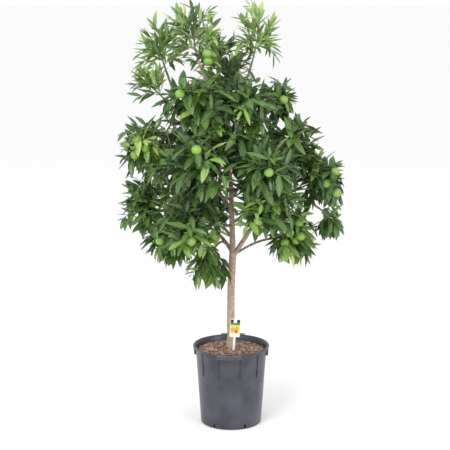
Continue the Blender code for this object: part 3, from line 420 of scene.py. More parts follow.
def solid(rows):
    """A closed solid through rows of points that go round it, with flat ends."""
    count = len(rows[0])
    last = (len(rows) - 1) * count
    faces = [tuple(range(count - 1, -1, -1))]
    for base in range(0, last, count):
        for step in range(count):
            after = (step + 1) % count
            faces.append((base + step, base + after, base + count + after, base + count + step))
    faces.append(tuple(range(last, last + count)))
    return [point for row in rows for point in row], faces


def arc_block(radii, heights, angles):
    """A closed block bent round Z between two radii, two heights and two angles."""
    outline = [(radii[i], heights[j]) for i, j in ((0, 0), (1, 0), (1, 1), (0, 1))]
    rows = []
    for step in range(GRIP_STEPS + 1):
        angle = angles[0] + (angles[1] - angles[0]) * step / GRIP_STEPS
        x = math.sin(angle)
        y = -math.cos(angle)
        rows.append([(radius * x, radius * y, height) for radius, height in outline])
    return solid(rows)


def wall_radius(height):
    share = height / (POT_HEIGHT - LIP_DEPTH)
    return WALL_FOOT_RADIUS + (WALL_TOP_RADIUS - WALL_FOOT_RADIUS) * share


def radial_fin(angle, width, low, high, inner_low, inner_high, outer_low, outer_high):
    """A thin upright plate that stands out from the pot's wall at one angle."""
    out = Vector((math.sin(angle), -math.cos(angle), 0.0))
    side = Vector((math.cos(angle), math.sin(angle), 0.0)) * (width / 2)
    outline = ((inner_low, low), (outer_low, low), (outer_high, high), (inner_high, high))
    middle = [out * radius + UP * height for radius, height in outline]
    return solid([[point + flank for point in middle] for flank in (side, -side)])


def combine(base, others, operation):
    """Fuse solids into the base, or cut them out of it, with one Boolean, and remove them."""
    group = bpy.data.collections.new("shapes")
    SCENE.collection.children.link(group)
    for other in others:
        SCENE.collection.objects.unlink(other)
        group.objects.link(other)
    change = base.modifiers.new("change", "BOOLEAN")
    change.operation = operation
    change.operand_type = "COLLECTION"
    change.collection = group
    bpy.context.view_layer.update()
    result = base.evaluated_get(bpy.context.evaluated_depsgraph_get())
    base.data = bpy.data.meshes.new_from_object(result)
    base.modifiers.clear()
    for other in others:
        bpy.data.objects.remove(other, do_unlink=True)
    bpy.data.collections.remove(group)


def pot_trimmings():
    """The grips, ribs and lugs that stand out from the pot's wall and lip."""
    lip_low = POT_HEIGHT - LIP_DEPTH
    top = lip_low + LIP_DEPTH / 2
    pieces = []
    for middle in (POT_TURN, POT_TURN + math.pi):
        pieces += build_grip(middle)
        for degrees in RIB_ANGLES:
            for side in (-1, 1):
                pieces.append(build_rib(middle + side * math.radians(degrees), top))
    for angle in (POT_TURN + math.pi / 2, POT_TURN - math.pi / 2):
        low = top - LUG_DEPTH
        shape = radial_fin(angle, LUG_WIDTH, low, top, wall_radius(low) - 0.001, wall_radius(lip_low) - 0.001,
                           wall_radius(low) + 0.009, LUG_RADIUS)
        pieces.append(mesh_object("lug", *shape))
    return pieces


def build_pot(finish):
    lip_low = POT_HEIGHT - LIP_DEPTH
    profile = (
        (0.0, 0.0),
        (WALL_FOOT_RADIUS - LIP_ROUNDING, 0.0),
        (WALL_FOOT_RADIUS, LIP_ROUNDING),
        (WALL_TOP_RADIUS, lip_low),
        (LIP_RADIUS - LIP_ROUNDING, lip_low),
        (LIP_RADIUS, lip_low + LIP_ROUNDING),
        (LIP_RADIUS, POT_HEIGHT - LIP_ROUNDING),
        (LIP_RADIUS - LIP_ROUNDING, POT_HEIGHT),
        (LIP_INNER_RADIUS + LIP_ROUNDING, POT_HEIGHT),
        (LIP_INNER_RADIUS, POT_HEIGHT - LIP_ROUNDING),
        (WALL_TOP_RADIUS - WALL_THICKNESS, lip_low - LIP_ROUNDING),
        (WALL_FOOT_RADIUS - WALL_THICKNESS, FLOOR_THICKNESS),
        (0.0, FLOOR_THICKNESS),
    )
    pot = mesh_object("pot", *turned(profile, POT_SIDES), finish)
    combine(pot, pot_trimmings(), "UNION")
    low = FLOOR_THICKNESS + 0.001
    inner = WALL_FOOT_RADIUS - 0.01
    outer = WALL_FOOT_RADIUS + 0.01
    for index in range(SLOT_COUNT):
        angle = POT_TURN + SLOT_FIRST_ANGLE + index * 2 * math.pi / SLOT_COUNT
        shape = radial_fin(angle, SLOT_WIDTH, low, low + SLOT_HEIGHT, inner, inner, outer, outer)
        combine(pot, [mesh_object("slot", *shape)], "DIFFERENCE")
    pot.data.shade_smooth()
    pot.data.set_sharp_from_angle(angle=math.radians(35))
    return pot


def build_grip(middle):
    """One hand grip: a plate beyond the lip, its turned-down edge and two end plates."""
    angles = (middle - GRIP_HALF_ANGLE, middle + GRIP_HALF_ANGLE)
    root = LIP_RADIUS - 0.006
    low = GRIP_TOP - GRIP_APRON
    plate = arc_block((root, GRIP_RADIUS), (GRIP_TOP - GRIP_PLATE, GRIP_TOP), angles)
    apron = arc_block((GRIP_RADIUS - GRIP_PLATE * 0.8, GRIP_RADIUS), (low, GRIP_TOP), angles)
    pieces = [mesh_object("grip_plate", *plate), mesh_object("grip_apron", *apron)]
    inset = RIB_WIDTH / 2 / GRIP_RADIUS
    for angle in (angles[0] + inset, angles[1] - inset):
        wall = wall_radius(low) - 0.001
        end = radial_fin(angle, RIB_WIDTH, low + 0.001, GRIP_TOP - 0.001, wall, wall + 0.004,
                         GRIP_RADIUS - 0.001, GRIP_RADIUS - 0.001)
        pieces.append(mesh_object("grip_end", *end))
    return pieces


def build_rib(angle, top):
    low = top - RIB_LENGTH
    shape = radial_fin(angle, RIB_WIDTH, low, top, wall_radius(low) - 0.001, wall_radius(top) - 0.001,
                       wall_radius(low) + RIB_PROUD, wall_radius(top) + RIB_PROUD)
    return mesh_object("rib", *shape)


def soil_height(radius, edge_radius):
    share = 1 - (radius - SOIL_FLAT_RADIUS) / (edge_radius - SOIL_FLAT_RADIUS)
    return SOIL_EDGE + (SOIL_TOP - SOIL_EDGE) * math.sin(math.pi / 2 * min(1.0, max(0.0, share)))


def box_shape(low, high):
    outline = ((low[0], low[1]), (high[0], low[1]), (high[0], high[1]), (low[0], high[1]))
    return solid([[(x, y, z) for x, y in outline] for z in (low[2], high[2])])


def card_shape():
    """The card's plate, with its corners cut off, standing on the stick's top."""
    half = CARD_WIDTH / 2
    inner = half - CARD_CORNER
    high = CARD_LOW + CARD_HEIGHT
    edges = (CARD_LOW + CARD_CORNER, high - CARD_CORNER)
    outline = ((inner, CARD_LOW), (half, edges[0]), (half, edges[1]), (inner, high),
               (-inner, high), (-half, edges[1]), (-half, edges[0]), (-inner, CARD_LOW))
    return solid([[(x, y, z) for x, z in outline] for y in (CARD_THICKNESS / 2, -CARD_THICKNESS / 2)])


def smooth_route(points, steps):
    """Points spaced along a smooth curve through the given points."""
    points = [Vector(p) for p in points]
    padded = [points[0] * 2 - points[1]] + points + [points[-1] * 2 - points[-2]]
    dense = []
    for index in range(1, len(padded) - 2):
        a, b, c, d = padded[index - 1:index + 3]
        for part in range(8):
            t = part / 8
            dense.append(0.5 * ((2 * b) + (c - a) * t + (2 * a - 5 * b + 4 * c - d) * t ** 2
                                + (3 * b - a - 3 * c + d) * t ** 3))
    dense.append(points[-1])
    lengths = [0.0]
    for before, after in zip(dense, dense[1:]):
        lengths.append(lengths[-1] + (after - before).length)
    route = []
    for step in range(steps + 1):
        wanted = lengths[-1] * step / steps
        index = next((i for i, length in enumerate(lengths) if length >= wanted - 1e-9), len(lengths) - 1)
        if index == 0:
            route.append(dense[0].copy())
            continue
        share = (wanted - lengths[index - 1]) / (lengths[index] - lengths[index - 1])
        route.append(dense[index - 1].lerp(dense[index], share))
    return route


def along(route, share):
    """The point at a share of an evenly spaced route, and the direction there."""
    place = min(max(share, 0.0), 1.0) * (len(route) - 1)
    index = min(int(place), len(route) - 2)
    point = route[index].lerp(route[index + 1], place - index)
    return point, (route[index + 1] - route[index]).normalized()


def tube(route, radii, sides):
    """A closed limb along a route, with one radius for each of its points and flat ends."""
    rows = []
    side = None
    for index, point in enumerate(route):
        before = route[max(index - 1, 0)]
        after = route[min(index + 1, len(route) - 1)]
        ahead = (after - before).normalized()
        if side is None:
            if ahead.z > 0.98:
                ahead = UP
            side = ahead.orthogonal()
        side = (side - ahead * side.dot(ahead)).normalized()
        other = ahead.cross(side)
        turns = [2 * math.pi * step / sides for step in range(sides)]
        ways = [side * math.cos(turn) + other * math.sin(turn) for turn in turns]
        rows.append([point + way * radii[index] for way in ways])
    return solid(rows)


def trunk_limb():
    steps = 10
    route = smooth_route(TRUNK_ROUTE, steps)
    radii = []
    for point in route:
        rise = point.z - SOIL_TOP
        share = rise / (route[-1].z - SOIL_TOP)
        flare = ROOT_FLARE * max(0.0, 1 - rise / ROOT_FLARE_HEIGHT) ** 2
        radii.append(TRUNK_RADIUS + (TRUNK_TOP_RADIUS - TRUNK_RADIUS) * share + flare)
    return Limb(route, radii, TRUNK_SIDES)


def make_spaces():
    """Each mass's own space: an ellipsoid cut back where it would meet its neighbours'."""
    spaces = {}
    for name, mass in MASSES.items():
        middle = Vector(mass.middle)
        walls = []
        for other_name, other in MASSES.items():
            if other_name == name:
                continue
            apart = Vector(other.middle) - middle
            distance = apart.length
            ahead = apart / distance
            own = depth_along(mass.reach, ahead)
            theirs = depth_along(other.reach, ahead)
            if own + theirs + 2 * SPACE_MARGIN > distance:
                walls.append((ahead, distance * own / (own + theirs) - SPACE_MARGIN))
        spaces[name] = Space(middle, Vector(mass.reach), walls)
    return spaces


def depth_along(reach, direction):
    return math.sqrt(sum((reach[axis] * direction[axis]) ** 2 for axis in range(3)))


def scaled(space, share):
    return Vector([share[axis] * space.reach[axis] for axis in range(3)])


def roundness(space, offset):
    return sum((offset[axis] / space.reach[axis]) ** 2 for axis in range(3))


def holds(space, point):
    offset = point - space.middle
    if roundness(space, offset) > 1.0:
        return False
    return all(offset.dot(ahead) < limit for ahead, limit in space.walls)


def way_out(space, start, direction):
    """The distance from a point inside a space to its edge."""
    offset = start - space.middle
    scaled_start, scaled_way = (
        Vector([way[axis] / space.reach[axis] for axis in range(3)]) for way in (offset, direction))
    a = scaled_way.dot(scaled_way)
    b = scaled_start.dot(scaled_way)
    c = scaled_start.dot(scaled_start) - 1.0
    distance = (-b + math.sqrt(max(b * b - a * c, 0.0))) / a
    for ahead, limit in space.walls:
        slope = direction.dot(ahead)
        if slope > 1e-9:
            distance = min(distance, (limit - offset.dot(ahead)) / slope)
    return max(distance, 0.0)


def radius_at(radii, share):
    place = share * (len(radii) - 1)
    index = min(int(place), len(radii) - 2)
    return radii[index] + (radii[index + 1] - radii[index]) * (place - index)


def bough_limb(name, limbs, spaces):
    """The limb that leaves its parent and ends where it enters its mass's space."""
    bough = BOUGHS[name]
    parent = limbs[bough.parent]
    root, _ = along(parent.route, bough.share)
    space = spaces[name]
    dense = smooth_route([root, *bough.via, space.middle], 60)
    entry = next(index for index, point in enumerate(dense) if index > 20 and holds(space, point))
    end = min(entry + 4, 56)
    route = smooth_route([dense[round(end * step / 6)] for step in range(7)], BOUGH_STEPS)
    first = radius_at(parent.radii, bough.share) * bough.thickness
    last = LEADER_TIP_RADIUS if bough.parent == "trunk" else BOUGH_TIP_RADIUS
    count = len(route)
    radii = [first + (last - first) * (step / (count - 1)) ** 0.8 for step in range(count)]
    return Limb(route, radii, BOUGH_SIDES + (2 if bough.parent == "trunk" else 0))


def make_limbs(spaces):
    limbs = {"trunk": trunk_limb()}
    for name in BOUGHS:
        limbs[name] = bough_limb(name, limbs, spaces)
    return limbs


def limb_tree(limb, grow):
    """A search tree of a limb's surface, a little thicker than the limb."""
    ahead = (limb.route[-1] - limb.route[-2]).normalized()
    route = limb.route[:-1] + [limb.route[-1] + ahead * grow]
    return BVHTree.FromPolygons(*tube(route, [radius + grow for radius in limb.radii], limb.sides))


def across_way(ahead, angle):
    """The direction square to a heading at an angle round it."""
    side = ahead.orthogonal().normalized()
    return side * math.cos(angle) + ahead.cross(side) * math.sin(angle)


def even_directions(heading, spread, count, turn):
    """Directions spread evenly within an angle of a heading."""
    directions = []
    for index in range(count):
        cosine = 1 - (index + 0.5) / count * (1 - math.cos(spread))
        sine = math.sqrt(max(0.0, 1 - cosine * cosine))
        across = across_way(heading, turn + index * GOLDEN_ANGLE)
        directions.append((heading * cosine + across * sine, math.acos(cosine) / spread))
    return directions


def stem_route(limb, space, heading):
    """The stem of a mass, from just clear of its bough's tip to past the middle of its space."""
    tip, ahead = limb.route[-1], (limb.route[-1] - limb.route[-2]).normalized()
    start = tip + ahead * GAP
    bend = start + ahead * STEM_STRAIGHT
    end = space.middle + heading * way_out(space, space.middle, heading) * 0.3
    middle = bend + ahead * (end - bend).length * 0.5
    return [start] + bezier(bend, middle, end, 3)


def bezier(first, second, third, steps):
    route = []
    for step in range(steps + 1):
        t = step / steps
        route.append(first * (1 - t) ** 2 + second * 2 * t * (1 - t) + third * t * t)
    return route


def shoot_route(space, stem, share, target, rise, steps):
    """A shoot that leaves the stem forwards and bends to its end."""
    start, ahead = along(stem, share)
    way = target - start
    middle = start + way * 0.35 + ahead * way.length * 0.18 + UP * rise * way.length
    if not holds(space, middle):
        middle = start.lerp(target, 0.5)
    return bezier(start, middle, target, steps)


def shoot_targets(mass, space, draw):
    """Where a mass's shoots end: its named tips first, then points spread by the seeded rule."""
    habit = HABITS[mass.habit]
    targets = []
    for tip in mass.tips:
        offset = scaled(space, tip)
        outward = offset.normalized()
        distance = min(offset.length, way_out(space, space.middle, outward)) - habit.leaf_length * 0.86
        targets.append((space.middle + outward * max(distance, 0.02), 0.75))
    heading = Vector(mass.heading).normalized()
    count = habit.shoots - len(mass.tips)
    turn = draw.uniform(0, 2 * math.pi)
    for outward, wide in even_directions(heading, math.radians(habit.spread), count, turn):
        outward = (outward + Vector([draw.uniform(-0.15, 0.15) for _ in range(3)])).normalized()
        reach = way_out(space, space.middle, outward)
        distance = reach * draw.uniform(0.5, 0.82)
        targets.append((space.middle + outward * distance, 0.95 - 0.6 * wide))
    return targets


def leaf_frame(axis, outward, draw):
    """The upper side of a leaf: up, turned a little outwards and at random."""
    lean = Vector([draw.uniform(-0.35, 0.35) for _ in range(3)])
    up = UP + outward * 0.45 + lean
    up -= axis * up.dot(axis)
    if up.length < 0.05:
        up = axis.orthogonal()
    return up.normalized()


def fits(shape, space, obstacles):
    vertices, faces = shape
    if not all(holds(space, vertex) for vertex in vertices):
        return False
    own = BVHTree.FromPolygons(vertices, faces)
    return not any(own.overlap(tree) for tree in obstacles)


def tapered(first, last, count):
    return [first + (last - first) * step / (count - 1) for step in range(count)]


def shoot_shape(route):
    return tube(route, tapered(SHOOT_RADIUS, SHOOT_TIP_RADIUS, len(route)), 3)


def mass_fruit(mass, space, stem, limb_trees):
    """Where the fruit of a mass hangs clear of the limbs, and the shoot of each one."""
    middles = []
    routes = []
    for share in mass.fruit:
        middle = space.middle + scaled(space, share)
        route = fruit_route(space, stem, middle, limb_trees)
        if route and fits(fruit_shape(middle, FRUIT_RADIUS, *FRUIT_ROOM), space, limb_trees):
            middles.append(middle)
            routes.append(route)
    return middles, routes


def fruit_route(space, stem, middle, limb_trees):
    """The shoot that a fruit hangs from, bent over above it and clear of the limbs, or None."""
    top = middle + UP * FRUIT_RADIUS * 0.6
    nearest = min(range(10), key=lambda step: (along(stem, step / 10)[0] - top).length) / 10
    for share in (nearest - 0.2, nearest, nearest + 0.2, 0.5, 0.8, 1.0):
        start, _ = along(stem, max(0.05, share))
        bend = start.lerp(top, 0.7) + UP * 0.012
        if not holds(space, bend):
            bend = start.lerp(top, 0.5)
        route = bezier(start, bend, top, 2)
        if fits(shoot_shape(route), space, limb_trees):
            return route
    return None


def plain(name, colour, roughness, specular=0.5):
    made = bpy.data.materials.new(name)
    made.use_nodes = True
    shader = made.node_tree.nodes["Principled BSDF"]
    shader.inputs["Base Color"].default_value = (*colour, 1.0)
    shader.inputs["Roughness"].default_value = roughness
    shader.inputs["Specular IOR Level"].default_value = specular
    return made


def mottled(name, dark, light, scale, roughness, bump):
    """A material whose colour and relief follow a fine noise."""
    made = plain(name, light, roughness)
    nodes = made.node_tree.nodes
    links = made.node_tree.links
    place = nodes.new("ShaderNodeTexCoord")
    grain = nodes.new("ShaderNodeTexNoise")
    grain.inputs["Scale"].default_value = scale
    grain.inputs["Detail"].default_value = 6.0
    ramp = nodes.new("ShaderNodeValToRGB")
    for element, position, colour in zip(ramp.color_ramp.elements, (0.35, 0.65), (dark, light)):
        element.position = position
        element.color = (*colour, 1.0)
    relief = nodes.new("ShaderNodeBump")
    relief.inputs["Strength"].default_value = bump
    relief.inputs["Distance"].default_value = 0.001
    shader = nodes["Principled BSDF"]
    links.new(place.outputs["Object"], grain.inputs["Vector"])
    links.new(grain.outputs["Fac"], ramp.inputs["Fac"])
    links.new(ramp.outputs["Color"], shader.inputs["Base Color"])
    links.new(grain.outputs["Fac"], relief.inputs["Height"])
    links.new(relief.outputs["Normal"], shader.inputs["Normal"])
    return made


def joined(name, shapes, finishes, marks):
    """One object from several shapes, each with its material's number or one number a face."""
    vertices = []
    faces = []
    numbers = []
    for (points, sides), mark in zip(shapes, marks):
        base = len(vertices)
        vertices += points
        faces += [tuple(base + corner for corner in side) for side in sides]
        numbers += mark if isinstance(mark, list) else [mark] * len(sides)
    made = mesh_object(name, vertices, faces)
    for finish in finishes:
        made.data.materials.append(finish)
    made.data.polygons.foreach_set("material_index", numbers)
    made.data.shade_smooth()
    return made


def show(made, slot_name, *nodes):
    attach(made, "root")
    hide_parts(*nodes)


def leaf_rows():
    """The blade's points as shares along, across, raised and sunk, and its upper and lower rows."""
    points = [(0.0, 0.0, 0.0, 0.0)]
    tops = []
    lows = []
    for station in LEAF_STATIONS:
        width = math.sin(math.pi * station ** OUTLINE_POWER) ** OUTLINE_POWER
        top = list(range(len(points), len(points) + len(LEAF_ACROSS)))
        points += [(station, across * width, abs(across) * width, 0.0) for across in LEAF_ACROSS]
        inner = LEAF_ACROSS[1:-1]
        lows.append([top[0], *range(len(points), len(points) + len(inner)), top[-1]])
        points += [(station, across * width, abs(across) * width, 1.0) for across in inner]
        tops.append(top)
    points.append((1.0, 0.0, 0.0, 0.0))
    return points, tops, lows


def leaf_template():
    """The blade's points, its faces, and each face's kind: 0 blade, 1 underside, 2 midrib."""
    points, tops, lows = leaf_rows()
    tip = len(points) - 1
    faces = []
    kinds = []
    for step in range(len(LEAF_ACROSS) - 1):
        after = step + 1
        kind = 2 if step in MIDRIB_STRIPS else 0
        faces += [(0, tops[0][after], tops[0][step]), (0, lows[0][step], lows[0][after])]
        kinds += [kind, 1]
        for row in range(len(tops) - 1):
            faces.append((tops[row][step], tops[row][after], tops[row + 1][after], tops[row + 1][step]))
            faces.append((lows[row][after], lows[row][step], lows[row + 1][step], lows[row + 1][after]))
            kinds += [kind, 1]
        faces += [(tip, tops[-1][step], tops[-1][after]), (tip, lows[-1][after], lows[-1][step])]
        kinds += [kind, 1]
    return points, faces, kinds


def leaf_points(template, leaf, fold, bend, wave):
    side = leaf.up.cross(leaf.axis)
    half = leaf.width / 2
    made = []
    for station, across, raised, sunk in template:
        lift = fold * raised * half - bend * leaf.length * station * station
        lift += wave * half * raised * math.sin(WAVES_ALONG * station + WAVES_ACROSS * across)
        lift -= sunk * LEAF_THICKNESS
        made.append(leaf.root + leaf.axis * (station * leaf.length) + side * (across * half) + leaf.up * lift)
    return made


def side_twigs(space, route, draw):
    """Finer twigs that leave a shoot in turn and stay near the mass's space."""
    twigs = []
    turn = draw.uniform(0, 2 * math.pi)
    for index in range(SIDE_TWIGS):
        first, span = SIDE_TWIG_SPAN
        start, ahead = along(route, first + span * index / (SIDE_TWIGS - 1))
        across = across_way(ahead, turn + index * GOLDEN_ANGLE)
        way = (ahead * SIDE_TWIG_AHEAD + across * SIDE_TWIG_ACROSS + UP * SIDE_TWIG_RISE).normalized()
        reach = TWIG_REACH * draw.uniform(*TWIG_REACH_RANGE)
        end = start + way * reach
        if near(space, end + way * TWIG_REACH * 0.5):
            twigs.append(bezier(start, start.lerp(end, 0.5) + ahead * reach * SIDE_TWIG_BEND, end, 3))
    return twigs


def leaves_on(habit_name, space, route, count, scale, draw):
    """Leaves set in turn round a shoot or twig, with one at its end."""
    habit = HABITS[habit_name]
    blade_length, blade_width = LEAF_SIZES[habit_name]
    leaves = []
    turn = draw.uniform(0, 2 * math.pi)
    for index in range(count):
        first, span = LEAF_SPAN
        share = 1.0 if index == count - 1 else first + span * index / (count - 2)
        root, ahead = along(route, share)
        across = across_way(ahead, turn + index * GOLDEN_ANGLE)
        opening = LAST_LEAF_OPENING
        if share < 1.0:
            opening = math.radians(habit.leaf_angle) * draw.uniform(*OPENING_RANGE)
        axis = ahead * math.cos(opening) + across * math.sin(opening)
        axis.z -= habit.droop * draw.uniform(*DROOP_RANGE)
        axis.normalize()
        up = leaf_frame(axis, (root - space.middle).normalized(), draw)
        length = blade_length * scale * draw.uniform(*LENGTH_RANGE)
        width = length * blade_width / blade_length * draw.uniform(*WIDTH_RANGE)
        leaves.append(shortened(Leaf(root, axis, up, length, width), space))
    return [leaf for leaf in leaves if leaf]


def near(space, point):
    """Whether a point lies in a mass's rounded reach or just beyond it, and inside the solids' box."""
    low, high = LOADED_BOUNDS
    inside = all(low[axis] + BOX_MARGIN < point[axis] < high[axis] - BOX_MARGIN for axis in range(3))
    return inside and roundness(space, point - space.middle) < SPREAD_OUT ** 2


def covers(leaf, middles):
    """Whether a leaf lies on a fruit or hides it from the front."""
    centre = leaf.root + leaf.axis * (leaf.length * 0.55)
    for middle in middles:
        apart = centre - middle
        aside = math.hypot(apart.x, apart.z) if apart.y < FRUIT_RADIUS else apart.length
        if aside < FRUIT_RADIUS * FRUIT_CLEARANCE:
            return True
    return False


def shortened(leaf, space):
    """The leaf at the first of its lengths that stays near the mass's space, or None."""
    for share in LEAF_TRIES:
        tried = leaf._replace(length=leaf.length * share, width=leaf.width * share)
        side = tried.up.cross(tried.axis) * (tried.width / 2)
        middle = tried.root + tried.axis * (tried.length / 2)
        tip = tried.root + tried.axis * tried.length
        if all(near(space, point) for point in (tip, middle + side, middle - side)):
            return tried
    return None


def spray_number(habit_name, draw):
    chance = draw.random()
    return sum(chance > limit for limit in SPRAY_LIMITS[habit_name])


def grown_mass(name, limbs, limb_trees, spaces):
    """The twigs, leaves and fruit shown for one mass, grown as its solid is, with finer twigs."""
    mass = MASSES[name]
    space = spaces[name]
    draw = random.Random(mass.seed)
    fine = random.Random(mass.seed + GROWTH_SEED)
    stem = stem_route(limbs[name], space, Vector(mass.heading).normalized())
    twigs = [tube(stem, tapered(STEM_RADIUS, STEM_TIP_RADIUS * 0.7, len(stem)), 7)]
    middles, fruit_routes = mass_fruit(mass, space, stem, limb_trees)
    bearing = []
    for target, share in shoot_targets(mass, space, draw):
        route = shoot_route(space, stem, share, target, HABITS[mass.habit].rise, 5)
        if fits(shoot_shape(route), space, limb_trees):
            bearing.append(route)
    for route in fruit_routes + bearing:
        twigs.append(tube(route, tapered(SHOOT_RADIUS, TWIG_RADIUS, len(route)), 6))
    leaves = []
    for route in bearing + fruit_routes:
        spray = spray_number(mass.habit, fine)
        for leaf in leaves_on(mass.habit, space, route, SHOOT_LEAF_COUNT, 1.0, fine):
            leaves.append((leaf, spray))
        for twig in side_twigs(space, route, fine):
            twigs.append(tube(twig, tapered(TWIG_RADIUS, TWIG_TIP_RADIUS, len(twig)), 5))
            own = spray if fine.random() < TWIG_KEEPS_SPRAY else spray_number(mass.habit, fine)
            for leaf in leaves_on(mass.habit, space, twig, TWIG_LEAF_COUNT, TWIG_LEAF_SCALE, fine):
                leaves.append((leaf, own))
    return twigs, [pair for pair in leaves if not covers(pair[0], middles)], middles


def fruit_shape(middle, radius, sides, bands):
    """A round fruit, a little flattened, with a dimple below and above."""
    rows = []
    for band in range(bands + 1):
        turn = math.pi * band / bands
        above = FRUIT_DIMPLES[1] * math.exp(-((math.pi - turn) / DIMPLE_WIDTH) ** 2)
        below = FRUIT_DIMPLES[0] * math.exp(-(turn / DIMPLE_WIDTH) ** 2)
        height = -math.cos(turn) * radius * FRUIT_FLATNESS * (1 - above - below)
        rows.append((math.sin(turn) * radius, height))
    profile = [(0.0, rows[0][1])] + rows[1:-1] + [(0.0, rows[-1][1])]
    points, faces = turned(profile, sides)
    return [Vector(point) + middle for point in points], faces


def leaf_finishes():
    finishes = []
    for spray, (blade, under, rib, roughness) in SPRAYS.items():
        finishes.append(plain("leaf_" + spray, blade, roughness))
        finishes.append(plain("leaf_under_" + spray, under, 0.55))
        finishes.append(plain("leaf_rib_" + spray, rib, 0.45))
    return finishes


def build_foliage(limbs, spaces):
    finishes = leaf_finishes()
    twig_finish = plain("green_twig", (0.13, 0.2, 0.06), 0.55)
    rind = mottled("green_rind", (0.16, 0.31, 0.045), (0.24, 0.41, 0.07), 240.0, 0.34, 0.25)
    calyx = plain("calyx", (0.16, 0.21, 0.08), 0.7)
    points, faces, kinds = leaf_template()
    limb_trees = [limb_tree(limb, 2 * GAP) for limb in limbs.values()]
    for name in MASSES:
        twigs, leaves, middles = grown_mass(name, limbs, limb_trees, spaces)
        draw = random.Random(MASSES[name].seed * 3)
        shapes = []
        for leaf, _ in leaves:
            shape = [draw.uniform(*limits) for limits in (FOLD_RANGE, BEND_RANGE, WAVE_RANGE)]
            shapes.append((leaf_points(points, leaf, *shape), faces))
        marks = [[3 * spray + kind for kind in kinds] for _, spray in leaves]
        node = "foliage_" + name
        show(joined("leaves_" + name, shapes, finishes, marks), "leaf", node)
        show(joined("twigs_" + name, twigs, [twig_finish], [0] * len(twigs)), "leaf", node)
        fruit = []
        for middle in middles:
            top = middle + UP * FRUIT_RADIUS * 0.84
            radius = FRUIT_RADIUS * draw.uniform(*FRUIT_SIZE_RANGE)
            fruit.append(fruit_shape(middle, radius, *FRUIT_ROUND))
            fruit.append(tube([top, top + UP * CALYX_HEIGHT], CALYX_RADII, 5))
        if fruit:
            show(joined("fruit_" + name, fruit, [rind, calyx], [0, 1] * len(middles)), "leaf", node)


def rough_tube(limb, sides, steps, relief):
    """A limb's tube with many sides and a shallow uneven surface."""
    route = smooth_route(limb.route, steps)
    radii = [radius_at(limb.radii, step / steps) for step in range(steps + 1)]
    points, faces = tube(route, radii, sides)
    made = []
    for number, point in enumerate(points):
        out = (point - route[number // sides]).normalized()
        made.append(point + out * noise.noise(point * BARK_GRAIN) * relief)
    return made, faces


def build_bark(limbs):
    pale = mottled("pale_bark", (0.33, 0.225, 0.175), (0.52, 0.38, 0.3), 90.0, 0.8, 0.5)
    dark = mottled("upper_bark", (0.15, 0.12, 0.07), (0.3, 0.22, 0.15), 90.0, 0.8, 0.5)
    shapes = []
    marks = []
    for name, limb in limbs.items():
        shapes.append(rough_tube(limb, *(TRUNK_BARK if name == "trunk" else BOUGH_BARK)))
        marks.append(0 if name in PALE_LIMBS else 1)
    made = joined("trunk_bark", shapes, [pale, dark], marks)
    show(made, "bark", "trunk", *["bough_" + name for name in BOUGHS])


def chip_shape(edge, draw):
    """One chip of bark, tilted, on the compost's mound."""
    radius = edge * CHIP_SPREAD * math.sqrt(draw.random())
    angle = draw.uniform(0, 2 * math.pi)
    size = Vector([draw.uniform(*limits) for limits in CHIP_SIZES])
    height = soil_height(radius, edge) - CHIP_SUNK + draw.uniform(*CHIP_LIFT)
    middle = Vector((radius * math.cos(angle), radius * math.sin(angle), min(height, SOIL_TOP + 0.001)))
    turn = Matrix.Rotation(draw.uniform(0, CHIP_TURN), 3, "Z")
    tilt = Matrix.Rotation(draw.uniform(-CHIP_TILT, CHIP_TILT), 3, "X")
    points, faces = box_shape(-size, size)
    return [middle + turn @ tilt @ Vector(point) for point in points], faces


def build_compost():
    draw = random.Random(SOIL_SEED)
    finishes = [mottled("wet_compost", (0.035, 0.02, 0.014), (0.11, 0.065, 0.045), 160.0, 0.95, 0.8)]
    for number, colour in enumerate(CHIP_COLOURS):
        finishes.append(plain("bark_chip_%d" % number, colour, 0.9))
    edge = wall_radius(SOIL_EDGE) - WALL_THICKNESS - 0.001
    profile = [(0.0, COMPOST_FOOT), (edge - 0.004, COMPOST_FOOT)]
    for step in range(COMPOST_RINGS):
        radius = edge * (1 - step / COMPOST_RINGS)
        profile.append((radius, soil_height(radius, edge) - COMPOST_SUNK))
    profile.append((0.0, SOIL_TOP - COMPOST_SUNK))
    shapes = [turned(profile, COMPOST_SIDES)]
    marks = [0]
    for _ in range(CHIP_COUNT):
        shapes.append(chip_shape(edge, draw))
        marks.append(draw.randint(1, len(CHIP_COLOURS)))
    made = joined("compost", shapes, finishes, marks)
    made.data.set_sharp_from_angle(angle=math.radians(30))
    show(made, "bark_compost", "soil")


def printed_panel(left, right, bottom, top, proud):
    front = -CARD_THICKNESS / 2
    return box_shape((left, front - proud, CARD_LOW + bottom), (right, front + PRINT_OVERLAP, CARD_LOW + top))


def printed_disc(across, up, radius, proud):
    back = PRINT_OVERLAP - CARD_THICKNESS / 2
    depth = proud + PRINT_OVERLAP
    points, faces = turned([(0.0, 0.0), (radius, 0.0), (radius, depth), (0.0, depth)], 28)
    return [Vector((x + across, back - z, CARD_LOW + up + y)) for x, y, z in points], faces


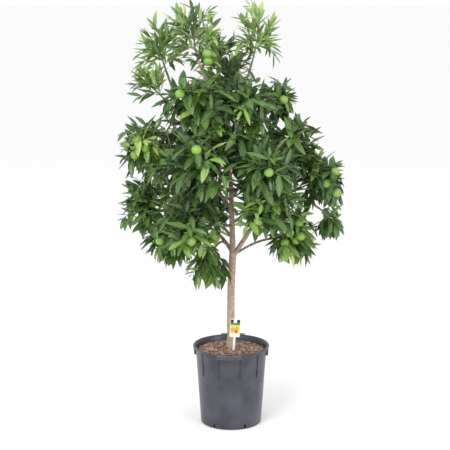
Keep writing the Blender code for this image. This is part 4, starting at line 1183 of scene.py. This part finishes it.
def build_label():
    """The card with its printed colours as thin raised panels, on its stick."""
    finishes = [plain("card_" + name, colour, 0.4) for name, colour in CARD_COLOURS.items()]
    half = STICK_WIDTH / 2
    depth = STICK_THICKNESS / 2
    shapes = [box_shape((-half, -depth, STICK_FOOT), (half, depth, CARD_LOW + 0.012)), card_shape()]
    shapes += [printed_panel(*sizes[:-1]) for sizes in CARD_PANELS]
    shapes += [printed_disc(*sizes[:-1]) for sizes in CARD_DISCS]
    marks = [0, 0] + [sizes[-1] for sizes in CARD_PANELS + CARD_DISCS]
    made = joined("card_and_stick", shapes, finishes, marks)
    made.data.set_sharp_from_angle(angle=math.radians(30))
    made.data.transform(Matrix.Translation(LABEL_FOOT) @ Matrix.Rotation(LABEL_LEAN, 4, "Y"))
    show(made, "label_card", "plant_label")


def build_stage():
    far = FLOOR_REACH
    corners = [(x, y, FLOOR_DEPTH) for x, y in ((-far, -far), (far, -far), (far, far), (-far, far))]
    finish = plain("floor_white", (0.96, 0.96, 0.96), 0.9, 0.1)
    floor = mesh_object("floor", corners, [(0, 1, 2, 3)], finish)
    SCENE.view_settings.view_transform = "Standard"
    SCENE.world = bpy.data.worlds.new("white_room")
    SCENE.world.use_nodes = True
    sky = SCENE.world.node_tree.nodes["Background"]
    sky.inputs["Color"].default_value = (1.0, 1.0, 1.0, 1.0)
    sky.inputs["Strength"].default_value = 1.0
    for name, (place, size, power) in LIGHTS.items():
        light = bpy.data.lights.new(name, "AREA")
        light.size = size
        light.energy = power
        lamp = bpy.data.objects.new(name, light)
        lamp.location = place
        lamp.rotation_mode = "QUATERNION"
        lamp.rotation_quaternion = (LIGHTS_AIM - Vector(place)).to_track_quat("-Z", "Y")
        SCENE.collection.objects.link(lamp)
    camera = bpy.data.cameras.new("front")
    camera.lens = CAMERA_LENS
    camera.sensor_width = CAMERA_SENSOR
    SCENE.camera = bpy.data.objects.new("front", camera)
    SCENE.camera.location = CAMERA_PLACE
    SCENE.camera.rotation_euler = (math.radians(90.0 - CAMERA_DIP), 0.0, 0.0)
    SCENE.collection.objects.link(SCENE.camera)


def build_visual():
    spaces = make_spaces()
    limbs = make_limbs(spaces)
    plastic = mottled("pot_plastic", (0.03, 0.03, 0.042), (0.062, 0.062, 0.085), 12.0, 0.36, 0.05)
    pot = build_pot(plastic)
    pot.name = "pot_wall"
    show(pot, "black_plastic", "pot")
    build_compost()
    build_label()
    build_bark(limbs)
    build_foliage(limbs, spaces)
    build_stage()


build_visual()
